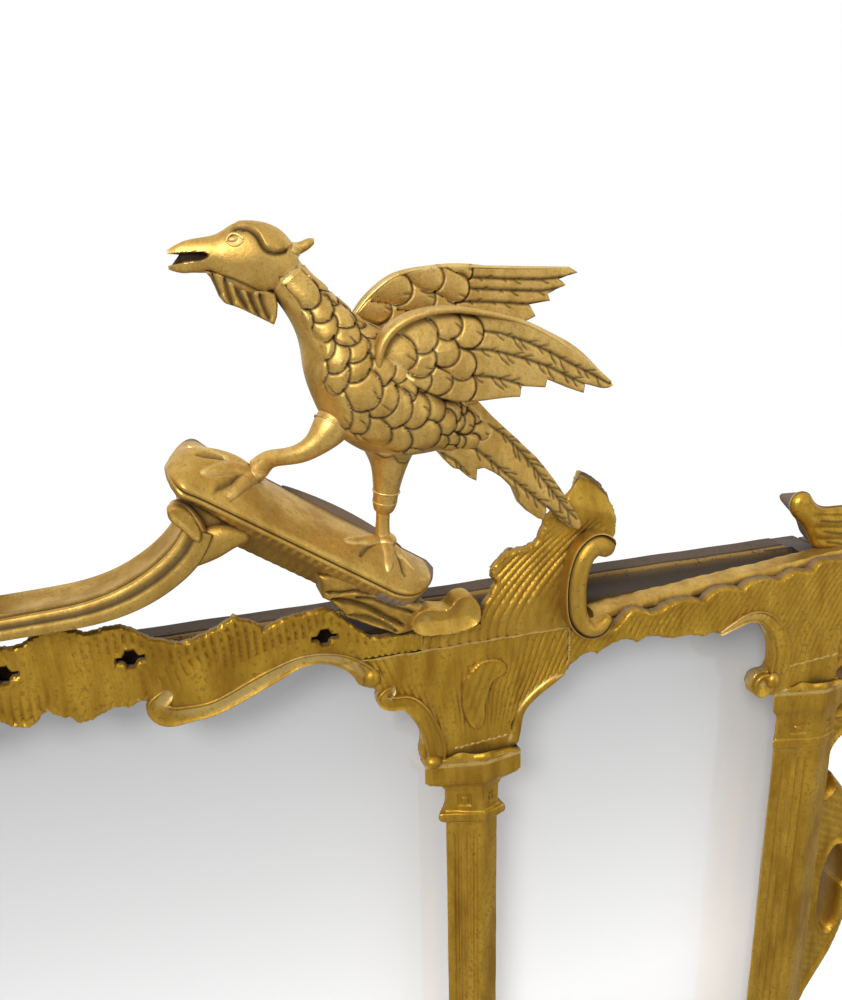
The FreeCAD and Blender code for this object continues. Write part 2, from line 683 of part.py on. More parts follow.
def build_flame():
    end_share = (FRIEZE_END_SHARE - 1) * size("inner_column_x") / size("flame_width")
    shares = (
        ((end_share, 0),),
        ((end_share, 0.126),),
        ((0.05, 0.126),),
        ((0.065, 0.21), (0.11, 0.303), (0.136, 0.378)),
        ((0.117, 0.454), (0.149, 0.513), (0.195, 0.555), (0.253, 0.571), (0.338, 0.597)),
        ((0.364, 0.655), (0.396, 0.748), (0.455, 0.815), (0.513, 0.882), (0.552, 0.941), (0.578, 1)),
        ((0.649, 0.958), (0.708, 0.874), (0.74, 0.798), (0.766, 0.672), (0.753, 0.546)),
        ((0.714, 0.496), (0.643, 0.462), (0.591, 0.37), (0.578, 0.252), (0.591, 0.126), (0.6, 0)),
    )
    scroll_shares = (
        (0.688, 0.622), (0.636, 0.639), (0.571, 0.605), (0.519, 0.529), (0.481, 0.412), (0.468, 0.303),
        (0.468, 0.176), (0.487, 0.101), (0.526, 0.008), (0.578, -0.059), (0.656, -0.067), (0.714, -0.034),
        (0.734, 0.025), (0.701, 0.076), (0.656, 0.076), (0.62, 0.07), (0.591, 0.126), (0.578, 0.235),
        (0.578, 0.319), (0.604, 0.403), (0.643, 0.462), (0.688, 0.479), (0.721, 0.529), (0.716, 0.59),
    )
    place = in_field(size("inner_column_x"), size("flame_width"), joint_level(), size("flame_height"))
    front = size("carcase_depth") + size("board_thickness")
    flame = carved("right_flame_crest", board(shares, place, size("carcase_depth"), size("board_thickness")))
    scroll = carved("right_flame_scroll",
                    closed_board(scroll_shares, place, front, size("flame_scroll_depth")))
    mirrored("left_flame_crest", flame)
    mirrored("left_flame_scroll", scroll)


# The sloping perch: a platform that falls to the front in facets, with a rim and a cove below, on a scroll and a bracket

CROWN_SHARE = 0.17


def perch_centre():
    return Vector(size("inner_column_x") - size("perch_inset"), 0, size("carcase_height") + size("perch_lift"))


def on_perch(along, normal, depth):
    tilt = math.radians(size("perch_tilt"))
    slope = Vector(math.cos(tilt), 0, -math.sin(tilt))
    upward = Vector(math.sin(tilt), 0, math.cos(tilt))
    return perch_centre() + slope * along + upward * normal + Vector(0, -depth, 0)


def perch_top(share):
    return size("perch_crown") - (size("perch_crown") - size("perch_rim")) * share ** 2


def nose_depth(share):
    return CROWN_SHARE + (1 - CROWN_SHARE) * share


def perch_solid():
    nose_shares = (0, 0.35, 0.7, 1)
    cove_shares = ((0.86, -0.35), (0.68, -0.55), (0.56, -1))
    half = size("perch_length") / 2
    back = size("perch_back")
    depth = size("perch_depth")
    under = size("perch_under")

    def at(share, normal):
        return on_perch(-half, normal, back + share * depth)

    top = [at(nose_depth(share), perch_top(share)) for share in nose_shares]
    cove = [at(1, 0)] + [at(share, drop * under) for share, drop in cove_shares]
    ring = [at(0, perch_top(0))] + top + [cove[0]]
    edges = [run_edge(list(pair)) for pair in zip(ring, ring[1:])]
    edges += [run_edge(cove), run_edge([cove[-1], at(0, -under)]), run_edge([at(0, -under), ring[0]])]
    slope = on_perch(1, 0, 0) - on_perch(0, 0, 0)
    bar = Part.Face(Part.Wire(edges)).extrude(slope * size("perch_length"))
    end_shares = (
        ((-0.17, -0.8),),
        ((-0.42, -0.08),),
        ((-0.48, 0.1), (-0.5, 0.4), (-0.495, 1.1), (-0.46, 1.4)),
        ((0.44, 1.4),),
        ((0.485, 1.0), (0.5, 0.45), (0.485, -0.1), (0.44, -0.5), (0.41, -1.1)),
    )

    def trim_place(along, rise, depth_now):
        return on_perch(along * size("perch_length"), rise * size("perch_crown"), depth_now)

    trim = board(end_shares, trim_place, back - size("overrun"), depth + 2 * size("overrun"))
    return bar.common(trim).Solids[0]


def build_perch():
    scroll_shares = (
        ((0.07, 0.5),),
        ((0.14, 0.52), (0.21, 0.52), (0.283, 0.52), (0.35, 0.52), (0.42, 0.567), (0.479, 0.673),
         (0.519, 0.788), (0.54, 0.885)),
        ((0.533, 0.96), (0.54, 1.077), (0.563, 1.106), (0.584, 1.04), (0.593, 0.923), (0.598, 0.808),
         (0.586, 0.692), (0.558, 0.577), (0.516, 0.49), (0.474, 0.413), (0.42, 0.382)),
        ((0.07, 0.382),),
    )
    bracket_shares = (
        ((-0.914, 1),),
        ((-0.925, 0.708), (-0.845, 0.479), (-0.741, 0.27), (-0.62, 0.083), (-0.552, 0)),
        ((0, 0),),
        ((0.06, 0.167), (0.043, 0.333), (-0.034, 0.5), (-0.103, 0.479), (-0.172, 0.333)),
        ((-0.284, 0.354), (-0.388, 0.4375), (-0.44, 0.54), (-0.543, 0.75), (-0.716, 0.98)),
    )
    perch = perch_solid()
    scroll_place = in_field(0, size("inner_column_x"), size("carcase_height"), size("scroll_rise"))
    bracket_place = in_field(size("inner_column_x"), size("bracket_length"), size("carcase_height"),
                             size("bracket_height"))
    scroll = board(scroll_shares, scroll_place, size("scroll_back"), size("scroll_depth")).cut(perch)
    bracket = board(bracket_shares, bracket_place, size("bracket_back"), size("bracket_depth")).cut(perch)
    for name, shape in (("perch", perch), ("swan_neck_scroll", scroll), ("perch_bracket", bracket)):
        part = carved(f"right_{name}", largest(shape))
        mirrored(f"left_{name}", part)
    return perch


def largest(shape):
    return max(shape.Solids, key=lambda solid: solid.Volume)


# The bird: a lofted body and head with a fan tail, two let-in wings and two legs pinned to the perch

HEEL_SHARE = 0.35
FRONT_ANKLE_SHARE = -0.262
REAR_ANKLE_SHARE = 0.227


def ankle(along_share):
    return on_perch(along_share * size("perch_length"), size("perch_crown") + size("ankle_height"), 0)


def bird_point(across, rise, depth=0.0):
    unit = size("bird_length")
    return ankle(REAR_ANKLE_SHARE) + Vector(across * unit, -size("bird_line") - depth, rise * unit)


def ellipse_ring(centre, tangent, height, width):
    side = Vector(0, 1, 0)
    lift = tangent.cross(side).normalize()
    steps = [math.pi * turn / 4 for turn in range(8)]
    points = [centre + lift * (height * math.cos(turn)) + side * (width * math.sin(turn)) for turn in steps]
    curve = Part.BSplineCurve()
    curve.interpolate(points, PeriodicFlag=True)
    return Part.Wire([curve.toShape()])


def ring_loft(shares):
    unit = size("bird_length")
    centres = [bird_point(across, rise) for across, rise, _, _ in shares]
    rings = []
    for count, (_, _, height, width) in enumerate(shares):
        before = centres[max(count - 1, 0)]
        after = centres[min(count + 1, len(centres) - 1)]
        rings.append(ellipse_ring(centres[count], (after - before).normalize(), height * unit, width * unit))
    return Part.makeLoft(rings, True, False)


def bird_board(runs, depth, thickness):
    def place(across, rise, back):
        return bird_point(across, rise, back)
    return board(runs, place, depth, thickness)


def bird_body():
    body_shares = ((-0.19, 0.57, 0.042, 0.042), (-0.117, 0.476, 0.059, 0.059), (-0.083, 0.407, 0.093, 0.09),
                   (-0.031, 0.341, 0.128, 0.107), (0.066, 0.266, 0.118, 0.107), (0.159, 0.221, 0.088, 0.083),
                   (0.231, 0.179, 0.066, 0.045))
    head_shares = ((-0.162, 0.603, 0.021, 0.018), (-0.193, 0.61, 0.048, 0.036), (-0.235, 0.614, 0.062, 0.046),
                   (-0.279, 0.617, 0.055, 0.041), (-0.321, 0.617, 0.036, 0.029), (-0.369, 0.617, 0.022, 0.017),
                   (-0.421, 0.61, 0.01, 0.008))
    tail_shares = (
        ((0.114, 0.19),),
        ((0.17, 0.122), (0.195, 0.102), (0.225, 0.085)),
        ((0.24, 0.116),),
        ((0.32, 0.04), (0.347, 0.006), (0.397, -0.028)),
        ((0.408, -0.007),),
        ((0.446, -0.044), (0.478, -0.066), (0.506, -0.056)),
        ((0.486, 0.012), (0.422, 0.094), (0.352, 0.166), (0.3, 0.216), (0.243, 0.277)),
        ((0.172, 0.277),),
    )
    thick = size("tail_thickness")
    flame_front = size("carcase_depth") + size("board_thickness")
    tail = bird_board(tail_shares, flame_front + size("tail_clearance") - size("bird_line"), thick)
    return largest(ring_loft(body_shares).fuse([ring_loft(head_shares), tail]))


def wing(runs, boss_shares, depth, outward):
    across, rise, radius = boss_shares
    thick = size("wing_thickness")
    blade = bird_board(runs, depth if outward > 0 else -depth - thick, thick)
    boss = Part.makeCylinder(radius * size("bird_length"), depth, bird_point(across, rise),
                             Vector(0, -outward, 0))
    return blade.fuse(boss)


def bird_wings():
    front_shares = (
        ((-0.02, 0.41),),
        ((0, 0.445), (0.024, 0.472), (0.072, 0.49), (0.131, 0.497), (0.197, 0.49), (0.272, 0.476),
         (0.328, 0.459), (0.386, 0.431), (0.441, 0.4), (0.486, 0.362), (0.545, 0.303)),
        ((0.524, 0.297), (0.5, 0.302), (0.472, 0.31)),
        ((0.469, 0.29),),
        ((0.434, 0.303), (0.4, 0.318), (0.376, 0.328)),
        ((0.372, 0.31),),
        ((0.314, 0.317),),
        ((0.31, 0.293),),
        ((0.252, 0.293), (0.169, 0.293), (0.117, 0.307), (0.034, 0.355), (-0.02, 0.383)),
    )
    back_shares = (
        ((-0.017, 0.476),),
        ((0.01, 0.503), (0.038, 0.531), (0.083, 0.559), (0.138, 0.572), (0.203, 0.579), (0.31, 0.572)),
        ((0.528, 0.562),),
        ((0.552, 0.548),),
        ((0.503, 0.534),),
        ((0.521, 0.519),),
        ((0.472, 0.5),),
        ((0.479, 0.483),),
        ((0.424, 0.476),),
        ((0.441, 0.448),),
        ((0.34, 0.41), (0.23, 0.38), (0.12, 0.36), (0.02, 0.39), (-0.017, 0.43)),
    )
    front = wing(front_shares, (0.09, 0.385, 0.055), size("front_wing_offset"), 1)
    back = wing(back_shares, (0.07, 0.415, 0.05), size("back_wing_offset"), -1)
    return front, back


def leg(ankle_share, hip_shares, knee_shares, depth):
    thigh_share = 0.05
    knee_share = 0.027
    swell_share = 1.2
    toe_shares = ((-0.14, 0.52), (-0.02, 0.6), (0.1, 0.52), (0.06, -0.1))
    unit = size("bird_length")
    pin = size("pin_radius")
    foot_depth = size("perch_back") + HEEL_SHARE * size("perch_depth")
    hip = bird_point(*hip_shares, depth)
    knee = bird_point(*knee_shares, depth)
    heel = ankle(ankle_share) + Vector(0, -foot_depth, 0)
    sole = heel - (on_perch(0, 1, 0) - on_perch(0, 0, 0)) * size("ankle_height")
    pieces = [cone_between(hip, knee, thigh_share * unit, knee_share * unit),
              Part.makeSphere(swell_share * knee_share * unit, knee),
              cone_between(knee, heel, knee_share * unit, pin),
              Part.makeSphere(swell_share * pin, heel),
              cone_between(heel, sole, pin, size("toe_radius")),
              Part.makeSphere(swell_share * size("toe_radius"), sole)]
    across_now = (sole - on_perch(0, 0, 0)).dot(on_perch(1, 0, 0) - on_perch(0, 0, 0))
    for along_share, front_share in toe_shares:
        rise = perch_top(max(front_share, 0)) - size("toe_bite")
        tip = on_perch(across_now + along_share * size("perch_length"), rise,
                       size("perch_back") + nose_depth(front_share) * size("perch_depth"))
        pieces.append(cone_between(sole, tip, size("toe_radius"), size("toe_radius") / 2))
    return pieces[0].fuse(pieces[1:])


def cone_between(start, end, first, second):
    along = end - start
    return Part.makeCone(first, second, along.Length, start, along)


def build_birds(perch):
    body = bird_body()
    front, back = bird_wings()
    spread = size("leg_spread")
    legs = [leg(REAR_ANKLE_SHARE, (0.045, 0.185), (0.017, 0.1), -spread),
            leg(FRONT_ANKLE_SHARE, (-0.12, 0.245), (-0.19, 0.2), spread)]
    shod = [largest(shape.cut([perch, body])) for shape in legs]
    pieces = (("bird_body", body),
              ("bird_front_wing", largest(front.cut(body))),
              ("bird_back_wing", largest(back.cut(body))),
              ("bird_legs", Part.makeCompound(shod)))
    for name, shape in pieces:
        part = carved(f"right_{name}", shape)
        mirrored(f"left_{name}", part)


# Pierced scrollwork on the outer sides, leaf finials above it, and the shell crest in the middle

def build_outer_ornaments():
    side_shares = (
        ((0, 1),),
        ((0.48, 1),),
        ((0.52, 0.965), (0.4, 0.93), (0.3, 0.905)),
        ((0.45, 0.88), (0.72, 0.85), (0.9, 0.81), (0.92, 0.765), (0.8, 0.73), (0.55, 0.715), (0.4, 0.695)),
        ((0.44, 0.66), (0.62, 0.63), (0.86, 0.585), (0.97, 0.525), (1, 0.45), (0.9, 0.375), (0.7, 0.315),
         (0.48, 0.27), (0.35, 0.225)),
        ((0.42, 0.18), (0.62, 0.15), (0.73, 0.11), (0.67, 0.065), (0.45, 0.04), (0.23, 0.03), (0, 0)),
    )
    hole_shares = ((0.44, 0.79, 0.2, 0.035), (0.36, 0.645, 0.12, 0.024), (0.66, 0.45, 0.17, 0.075),
                   (0.42, 0.11, 0.17, 0.032))
    seat_share = 0.14
    root_share = 0.63
    finial_shares = (
        ((root_share, 0),),
        ((root_share, 0.15), (0.6, 0.26), (0.51, 0.3), (0.32, 0.3), (0.23, 0.35), (0.18, 0.43), (0.1, 0.61),
         (0.02, 0.78)),
        ((0, 0.87), (0.03, 0.98), (0.11, 1), (0.18, 0.95), (0.23, 0.85), (0.3, 0.77), (0.4, 0.72),
         (0.5, 0.7), (0.64, 0.65), (0.77, 0.5), (0.84, 0.27), (0.85, 0)),
    )
    edge = size("outer_column_x") + size("outer_shaft_width") / 2
    side_place = in_field(edge, size("side_width"), size("side_foot"),
                          size("carcase_height") - size("side_foot"))
    panel = board(side_shares, side_place, size("side_back"), size("side_depth"))
    holes = []
    for across, rise, wide, tall in hole_shares:
        turns = [math.pi * turn / 4 for turn in range(8)]
        ring = [(across + wide * math.cos(turn), rise + tall * math.sin(turn)) for turn in turns]
        holes.append(closed_board(ring, side_place, size("side_back") - size("overrun"),
                                  size("side_depth") + 2 * size("overrun")))
    side = carved("right_side_scrollwork", largest(panel.cut(holes)))
    start = edge + seat_share * size("side_width") - root_share * size("finial_width")
    finial_place = in_field(start, size("finial_width"), size("carcase_height"), size("finial_height"))
    finial = carved("right_finial", board(finial_shares, finial_place, size("finial_back"),
                                          size("finial_depth")))
    mirrored("left_side_scrollwork", side)
    mirrored("left_finial", finial)


def build_crest():
    half_shares = (
        ((0, 0),),
        ((0.5, 0),),
        ((0.62, 0.03), (0.64, 0.08), (0.56, 0.11)),
        ((0.8, 0.14),),
        ((0.95, 0.17), (1, 0.24), (0.96, 0.31), (0.84, 0.34)),
        ((0.96, 0.4), (0.98, 0.48), (0.9, 0.55), (0.76, 0.56)),
        ((0.84, 0.62), (0.84, 0.7), (0.74, 0.76), (0.6, 0.75)),
        ((0.64, 0.82), (0.6, 0.89), (0.48, 0.92), (0.36, 0.88)),
        ((0.34, 0.94), (0.2, 0.99), (0, 1)),
    )
    depth = size("scroll_back") - size("crest_back")
    place = in_field(0, size("crest_width") / 2, size("carcase_height"), size("crest_height"))
    half = board(half_shares, place, size("crest_back"), depth)
    whole = half.fuse(half.mirror(Vector(), Vector(1, 0, 0))).removeSplitter()
    carved("centre_crest", whole.Solids[0])


build_carcase()
build_plates()
build_wall_plates()
build_columns()
build_plinth()
build_centre_frieze()
build_inner_spandrel()
build_outer_boards()
build_flame()
build_birds(build_perch())
build_outer_ornaments()
build_crest()
doc.recompute()

for part in doc.Objects:
    faults = [word for word in part.State if word in ("Invalid", "Error")]
    if faults:
        raise RuntimeError(f"{part.Label} is {faults}")
for label, part in nodes.items():
    if part.Shape.isNull() or not part.Shape.isValid() or not part.Shape.Solids:
        raise RuntimeError(f"{label} has no sound solid")

os.makedirs("parts", exist_ok=True)
for label, part in nodes.items():
    part.Shape.exportStep(f"parts/{label}.step")
print(len(nodes), "nodes,", sum(len(part.Shape.Solids) for part in nodes.values()), "solids")
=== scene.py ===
import math

import bpy
import numpy as np
from mathutils import Matrix, Vector
from mathutils.geometry import delaunay_2d_cdt


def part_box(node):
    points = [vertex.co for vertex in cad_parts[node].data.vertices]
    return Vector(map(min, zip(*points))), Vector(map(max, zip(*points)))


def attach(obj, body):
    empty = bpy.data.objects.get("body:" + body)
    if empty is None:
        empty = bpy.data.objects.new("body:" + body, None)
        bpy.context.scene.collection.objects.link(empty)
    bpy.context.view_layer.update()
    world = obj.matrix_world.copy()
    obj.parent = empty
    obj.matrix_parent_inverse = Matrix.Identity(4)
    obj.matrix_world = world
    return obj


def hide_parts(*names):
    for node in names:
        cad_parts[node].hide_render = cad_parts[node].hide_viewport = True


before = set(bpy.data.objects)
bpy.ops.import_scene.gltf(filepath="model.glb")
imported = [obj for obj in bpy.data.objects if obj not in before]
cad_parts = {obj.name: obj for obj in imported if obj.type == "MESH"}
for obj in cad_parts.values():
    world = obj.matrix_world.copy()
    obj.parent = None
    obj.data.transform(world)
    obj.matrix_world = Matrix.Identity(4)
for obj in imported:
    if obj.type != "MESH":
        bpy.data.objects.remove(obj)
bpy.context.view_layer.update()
bpy.ops.object.select_all(action="DESELECT")
mm = 0.001  # shapes below are drawn in millimetres of the row frame
rng = np.random.default_rng(7)
print("frame loaded:", len(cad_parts), "nodes")


# outlines and boxes read from the CAD nodes

def boxOf(node):
    low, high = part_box(node)
    return np.array(low) / mm, np.array(high) / mm


def capLoops(node, facing):
    # outline loops of a board's flat back (facing 1) or front (facing -1), largest first
    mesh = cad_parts[node].data
    coords = np.empty(len(mesh.vertices) * 3)
    mesh.vertices.foreach_get("co", coords)
    points, index = np.unique(np.round(coords.reshape(-1, 3) / mm, 3), axis=0, return_inverse=True)
    mesh.calc_loop_triangles()
    tris = np.empty(len(mesh.loop_triangles) * 3, int)
    mesh.loop_triangles.foreach_get("vertices", tris)
    tris = index.reshape(-1)[tris].reshape(-1, 3)
    corners = points[tris]
    normal = np.cross(corners[:, 1] - corners[:, 0], corners[:, 2] - corners[:, 0])
    normal /= np.linalg.norm(normal, axis=1)[:, None] + 1e-12
    level = points[:, 1].max() if facing > 0 else points[:, 1].min()
    flat = (normal[:, 1] * facing > 0.99) & (np.abs(corners[:, :, 1].mean(1) - level) < 0.05)
    rim = {}
    for a, b, c in tris[flat]:
        for edge in ((a, b), (b, c), (c, a)):
            if edge[::-1] in rim:
                del rim[edge[::-1]]
            else:
                rim[edge] = True
    follow = dict(rim.keys())
    loops = []
    while follow:
        start, here = follow.popitem()
        loop = [start]
        while here != start and here in follow:
            loop.append(here)
            here = follow.pop(here)
        loops.append(points[loop][:, [0, 2]])
    loops.sort(key=lambda loop: -abs(loopArea(loop)))
    return loops


def loopArea(loop):
    x, z = loop[:, 0], loop[:, 1]
    return 0.5 * float(np.sum(x * np.roll(z, -1) - np.roll(x, -1) * z))


# small geometry tools: every part is (points, faces, finish), finish being (bare wood, dark) per point

def asPart(points, faces, bare=0.0, dark=0.0):
    points = np.asarray(points, float)
    finish = np.zeros((len(points), 2))
    finish[:, 0] = bare
    finish[:, 1] = dark
    return points, faces, finish


def outward(part):
    points, faces, finish = part
    volume = 0.0
    for face in faces:
        a = points[face[0]]
        for second, third in zip(face[1:], face[2:]):
            volume += np.dot(a, np.cross(points[second], points[third]))
    if volume < 0:
        faces = [tuple(reversed(face)) for face in faces]
    return points, faces, finish


def joinParts(parts):
    points, faces, finish, base = [], [], [], 0
    for part in parts:
        points.append(part[0])
        finish.append(part[2])
        faces += [tuple(int(corner) + base for corner in face) for face in part[1]]
        base += len(part[0])
    return np.vstack(points), faces, np.vstack(finish)


def spline(knots, count):
    # natural cubic curve through the knots; extra columns such as widths follow along
    knots = np.asarray(knots, float)
    run = np.linalg.norm(np.diff(knots[:, :2], axis=0), axis=1)
    chord = np.concatenate([[0], np.cumsum(run)])
    size = len(knots)
    system = np.zeros((size, size))
    right = np.zeros_like(knots)
    system[0, 0] = system[-1, -1] = 1
    for row in range(1, size - 1):
        system[row, row - 1:row + 2] = run[row - 1], 2 * (run[row - 1] + run[row]), run[row]
        right[row] = 6 * ((knots[row + 1] - knots[row]) / run[row]
                          - (knots[row] - knots[row - 1]) / run[row - 1])
    bend = np.linalg.solve(system, right)
    where = np.linspace(0, chord[-1], count)
    span = np.clip(np.searchsorted(chord, where) - 1, 0, size - 2)
    width = run[span][:, None]
    before = (where - chord[span])[:, None]
    after = width - before
    return (bend[span] * after ** 3 + bend[span + 1] * before ** 3) / (6 * width) \
        + (knots[span] / width - bend[span] * width / 6) * after \
        + (knots[span + 1] / width - bend[span + 1] * width / 6) * before


def loftRings(rings, bare=0.0, dark=0.0):
    rings = np.asarray(rings, float)
    count, around = rings.shape[:2]
    faces = [tuple(range(around)), tuple((count - 1) * around + k for k in reversed(range(around)))]
    for row in range(count - 1):
        for k in range(around):
            n = (k + 1) % around
            faces.append((row * around + k, (row + 1) * around + k, (row + 1) * around + n, row * around + n))
    return outward(asPart(rings.reshape(-1, 3), faces, bare, dark))


def headings(path):
    step = np.gradient(path, axis=0)
    return step / (np.linalg.norm(step, axis=1)[:, None] + 1e-9)


def roundSection(count=10, sink=0.7):
    turn = np.linspace(0, math.pi, count)
    return [(math.cos(t), math.sin(t)) for t in turn] + [(-0.9, -sink), (0.9, -sink)]


def fullTurn(count):
    return np.linspace(0, 2 * math.pi, count, endpoint=False)


def leftOf(run):
    return np.array([-run[1], run[0]])


def sweepBand(knots, count, section, base):
    # knots: x, z, half width, rise; the section lies across the path and its ends are domed
    rows = spline(knots, count)
    path = rows[:, :2]
    ahead = headings(path)
    stations = [(path[k], ahead[k], rows[k, 2], rows[k, 3], 1.0) for k in range(count)]
    for end, sign in ((0, -1), (count - 1, 1)):
        caps = []
        for angle in (0.45, 0.9, 1.3):
            shift = path[end] + ahead[end] * sign * rows[end, 2] * math.sin(angle)
            caps.append((shift, ahead[end], rows[end, 2], rows[end, 3], math.cos(angle)))
        stations = caps[::-1] + stations if sign < 0 else stations + caps
    rings = []
    for spot, along, half, rise, scale in stations:
        ring = []
        for across, out in section:
            flat = spot + leftOf(along) * across * half * scale
            ring.append((flat[0], base - out * rise * scale, flat[1]))
        rings.append(ring)
    return loftRings(rings)


def knob(centre, radii, around=20, tall=12, dark=0.0):
    rings = []
    for level in np.linspace(-0.98, 0.98, tall) * math.pi / 2:
        rings.append([(centre[0] + radii[0] * math.cos(level) * math.cos(turn),
                       centre[1] + radii[1] * math.cos(level) * math.sin(turn),
                       centre[2] + radii[2] * math.sin(level)) for turn in fullTurn(around)])
    return loftRings(rings, dark=dark)


def tube(knots, count, around=12):
    # knots: x, y, z, radius
    rows = spline(np.asarray(knots, float)[:, [0, 2, 1, 3]], count)
    path = rows[:, [0, 2, 1]]
    rings = []
    for spot, along, radius in zip(path, headings(path), rows[:, 3]):
        first = np.cross(along, (0, 1, 0.02))
        first /= np.linalg.norm(first)
        second = np.cross(along, first)
        rings.append([spot + radius * (first * math.cos(turn) + second * math.sin(turn))
                      for turn in fullTurn(around)])
    return loftRings(rings)


def insideLoops(points, loops):
    inside = np.zeros(len(points), bool)
    px, pz = points[:, 0], points[:, 1]
    for loop in loops:
        for (x0, z0), (x1, z1) in zip(loop, np.roll(loop, -1, axis=0)):
            if z0 == z1:
                continue
            crosses = (z0 > pz) != (z1 > pz)
            inside ^= crosses & (px < (x1 - x0) * (pz - z0) / (z1 - z0) + x0)
    return inside


def edgeDistance(points, loops, skip=None):
    nearest = np.full(len(points), 1e9)
    for loop in loops:
        for start, end in zip(loop, np.roll(loop, -1, axis=0)):
            if skip and skip(*((start + end) / 2)):
                continue
            run = end - start
            share = np.clip((points - start) @ run / (run @ run + 1e-12), 0, 1)
            gap = points - start - share[:, None] * run
            nearest = np.minimum(nearest, np.einsum("ij,ij->i", gap, gap))
    return np.sqrt(nearest)


def dense(loop, step):
    fine = []
    for start, end in zip(loop, np.roll(loop, -1, axis=0)):
        run = np.linalg.norm(end - start)
        if run < 1e-3:
            continue
        pieces = max(1, int(round(run / step)))
        fine += [start + (end - start) * k / pieces for k in range(pieces)]
    thin = [fine[0]]
    for point in fine[1:]:
        if np.linalg.norm(point - thin[-1]) > 0.3 * step:
            thin.append(point)
    return np.array(thin)


def chipped(loop, amount, joint):
    # small bites along the free edges
    ahead = headings(loop)
    run = np.arange(len(loop))
    bite = 0.5 * np.sin(run * 0.83) + 0.3 * np.sin(run * 1.9 + 1) \
        + 0.5 * np.sin(run * 0.31) * np.sin(run * 2.7)
    free = np.array([0.0 if joint and joint(*point) else 1.0 for point in loop])
    return loop + np.column_stack([-ahead[:, 1], ahead[:, 0]]) * (bite * free * amount)[:, None]


def reliefBoard(loops, back, front, carve, step, holes=(), bareBack=True, joint=None, bevel=0.0, chip=0.0,
                stretch=1.0):
    # a carved board: its outline filled with a fine mesh, the front cut back by carve(x, z, edge distance);
    # joint tells which edges meet a neighbour, bevel thins the free edges from behind to a 6 mm lip
    lip = 6.0
    fine = [dense(loop, step * 1.2) for loop in list(loops) + list(holes)]
    outline = []
    for count, loop in enumerate(fine):
        hole = count > 0
        outline.append(loop[::-1] if (loopArea(loop) < 0) != hole else loop)
    if chip:
        outline[0] = chipped(outline[0], chip, joint)
    low, high = outline[0].min(0), outline[0].max(0)
    xs = np.arange(low[0], high[0], step)
    zs = np.arange(low[1], high[1], step * 0.866 * stretch)
    grid = np.array([(x + (row % 2) * step / 2, z) for row, z in enumerate(zs) for x in xs])
    grid = grid[insideLoops(grid, outline)]
    grid = grid[edgeDistance(grid, outline) > 0.55 * step]
    points = np.vstack(outline + [grid])
    edges, base = [], 0
    for loop in outline:
        edges += [(base + k, base + (k + 1) % len(loop)) for k in range(len(loop))]
        base += len(loop)
    found = delaunay_2d_cdt([Vector(p) for p in points], edges, [], 0, 1e-5)
    flat = np.array([tuple(p) for p in found[0]])
    cells = np.array([tuple(face) for face in found[2] if len(face) == 3])
    cells = cells[insideLoops(flat[cells].mean(1), outline)]
    place = {}
    for new, olds in enumerate(found[3]):
        for old in olds:
            place[old] = new
    gap = edgeDistance(flat, outline, joint)
    cut = carve(flat[:, 0], flat[:, 1], gap)
    size = len(flat)
    rear = np.full(size, float(back))
    if bevel:
        rear -= (back - front - lip) * np.clip(1 - gap / bevel, 0, 1)
    frontPoints = np.column_stack([flat[:, 0], front + cut, flat[:, 1]])
    backPoints = np.column_stack([flat[:, 0], rear, flat[:, 1]])
    faces = [tuple(cell) for cell in cells] + [tuple(cell[::-1] + size) for cell in cells]
    base = 0
    for loop in outline:
        ring = [place[base + k] for k in range(len(loop))]
        base += len(loop)
        for a, b in zip(ring, ring[1:] + ring[:1]):
            if a != b:
                faces.append((a, a + size, b + size, b))
    part = asPart(np.vstack([frontPoints, backPoints]), faces)
    if bareBack:
        part[2][size:, 0] = 1
    return part


def edgeRound(gap, radius):
    inner = np.clip(1 - gap / radius, 0, 1)
    return radius * (1 - np.sqrt(1 - inner ** 2))


def ripple(x, z, seed=0.0):
    return 0.5 * np.sin(x / 23 + 1.7 * np.sin(z / 17 + seed)) + 0.3 * np.sin(z / 9 + x / 31 + 2 * seed) \
        + 0.2 * np.sin(x / 7.3 - z / 5.1 + seed)


def reeds(phase):
    return 1 - np.abs(np.sin(math.pi * phase))


def lineGap(x, z, line):
    # distance of each point from a line of knots, and how far along the line it lies
    line, spots = np.array(line, float), np.column_stack([x, z])
    best, along = np.full(len(spots), 1e9), np.zeros(len(spots))
    for k in range(len(line) - 1):
        run = line[k + 1] - line[k]
        share = np.clip((spots - line[k]) @ run / (run @ run + 1e-9), 0, 1)
        away = np.linalg.norm(spots - line[k] - share[:, None] * run, axis=1)
        closer = away < best
        best[closer], along[closer] = away[closer], ((k + share) / (len(line) - 1))[closer]
    return best, along


def incised(x, z, lines, width):
    # how strongly each point lies in one of the cut lines, which taper towards their ends
    amount = np.zeros(len(x))
    for line in lines:
        low, high = np.min(line, axis=0) - 3 * width, np.max(line, axis=0) + 3 * width
        near = (x > low[0]) & (x < high[0]) & (z > low[1]) & (z < high[1])
        if near.any():
            away, along = lineGap(x[near], z[near], line)
            taper = np.clip(0.4 + 5 * np.minimum(along, 1 - along), 0.4, 1)
            amount[near] = np.maximum(amount[near], np.exp(-(away / (width * taper)) ** 2))
    return amount


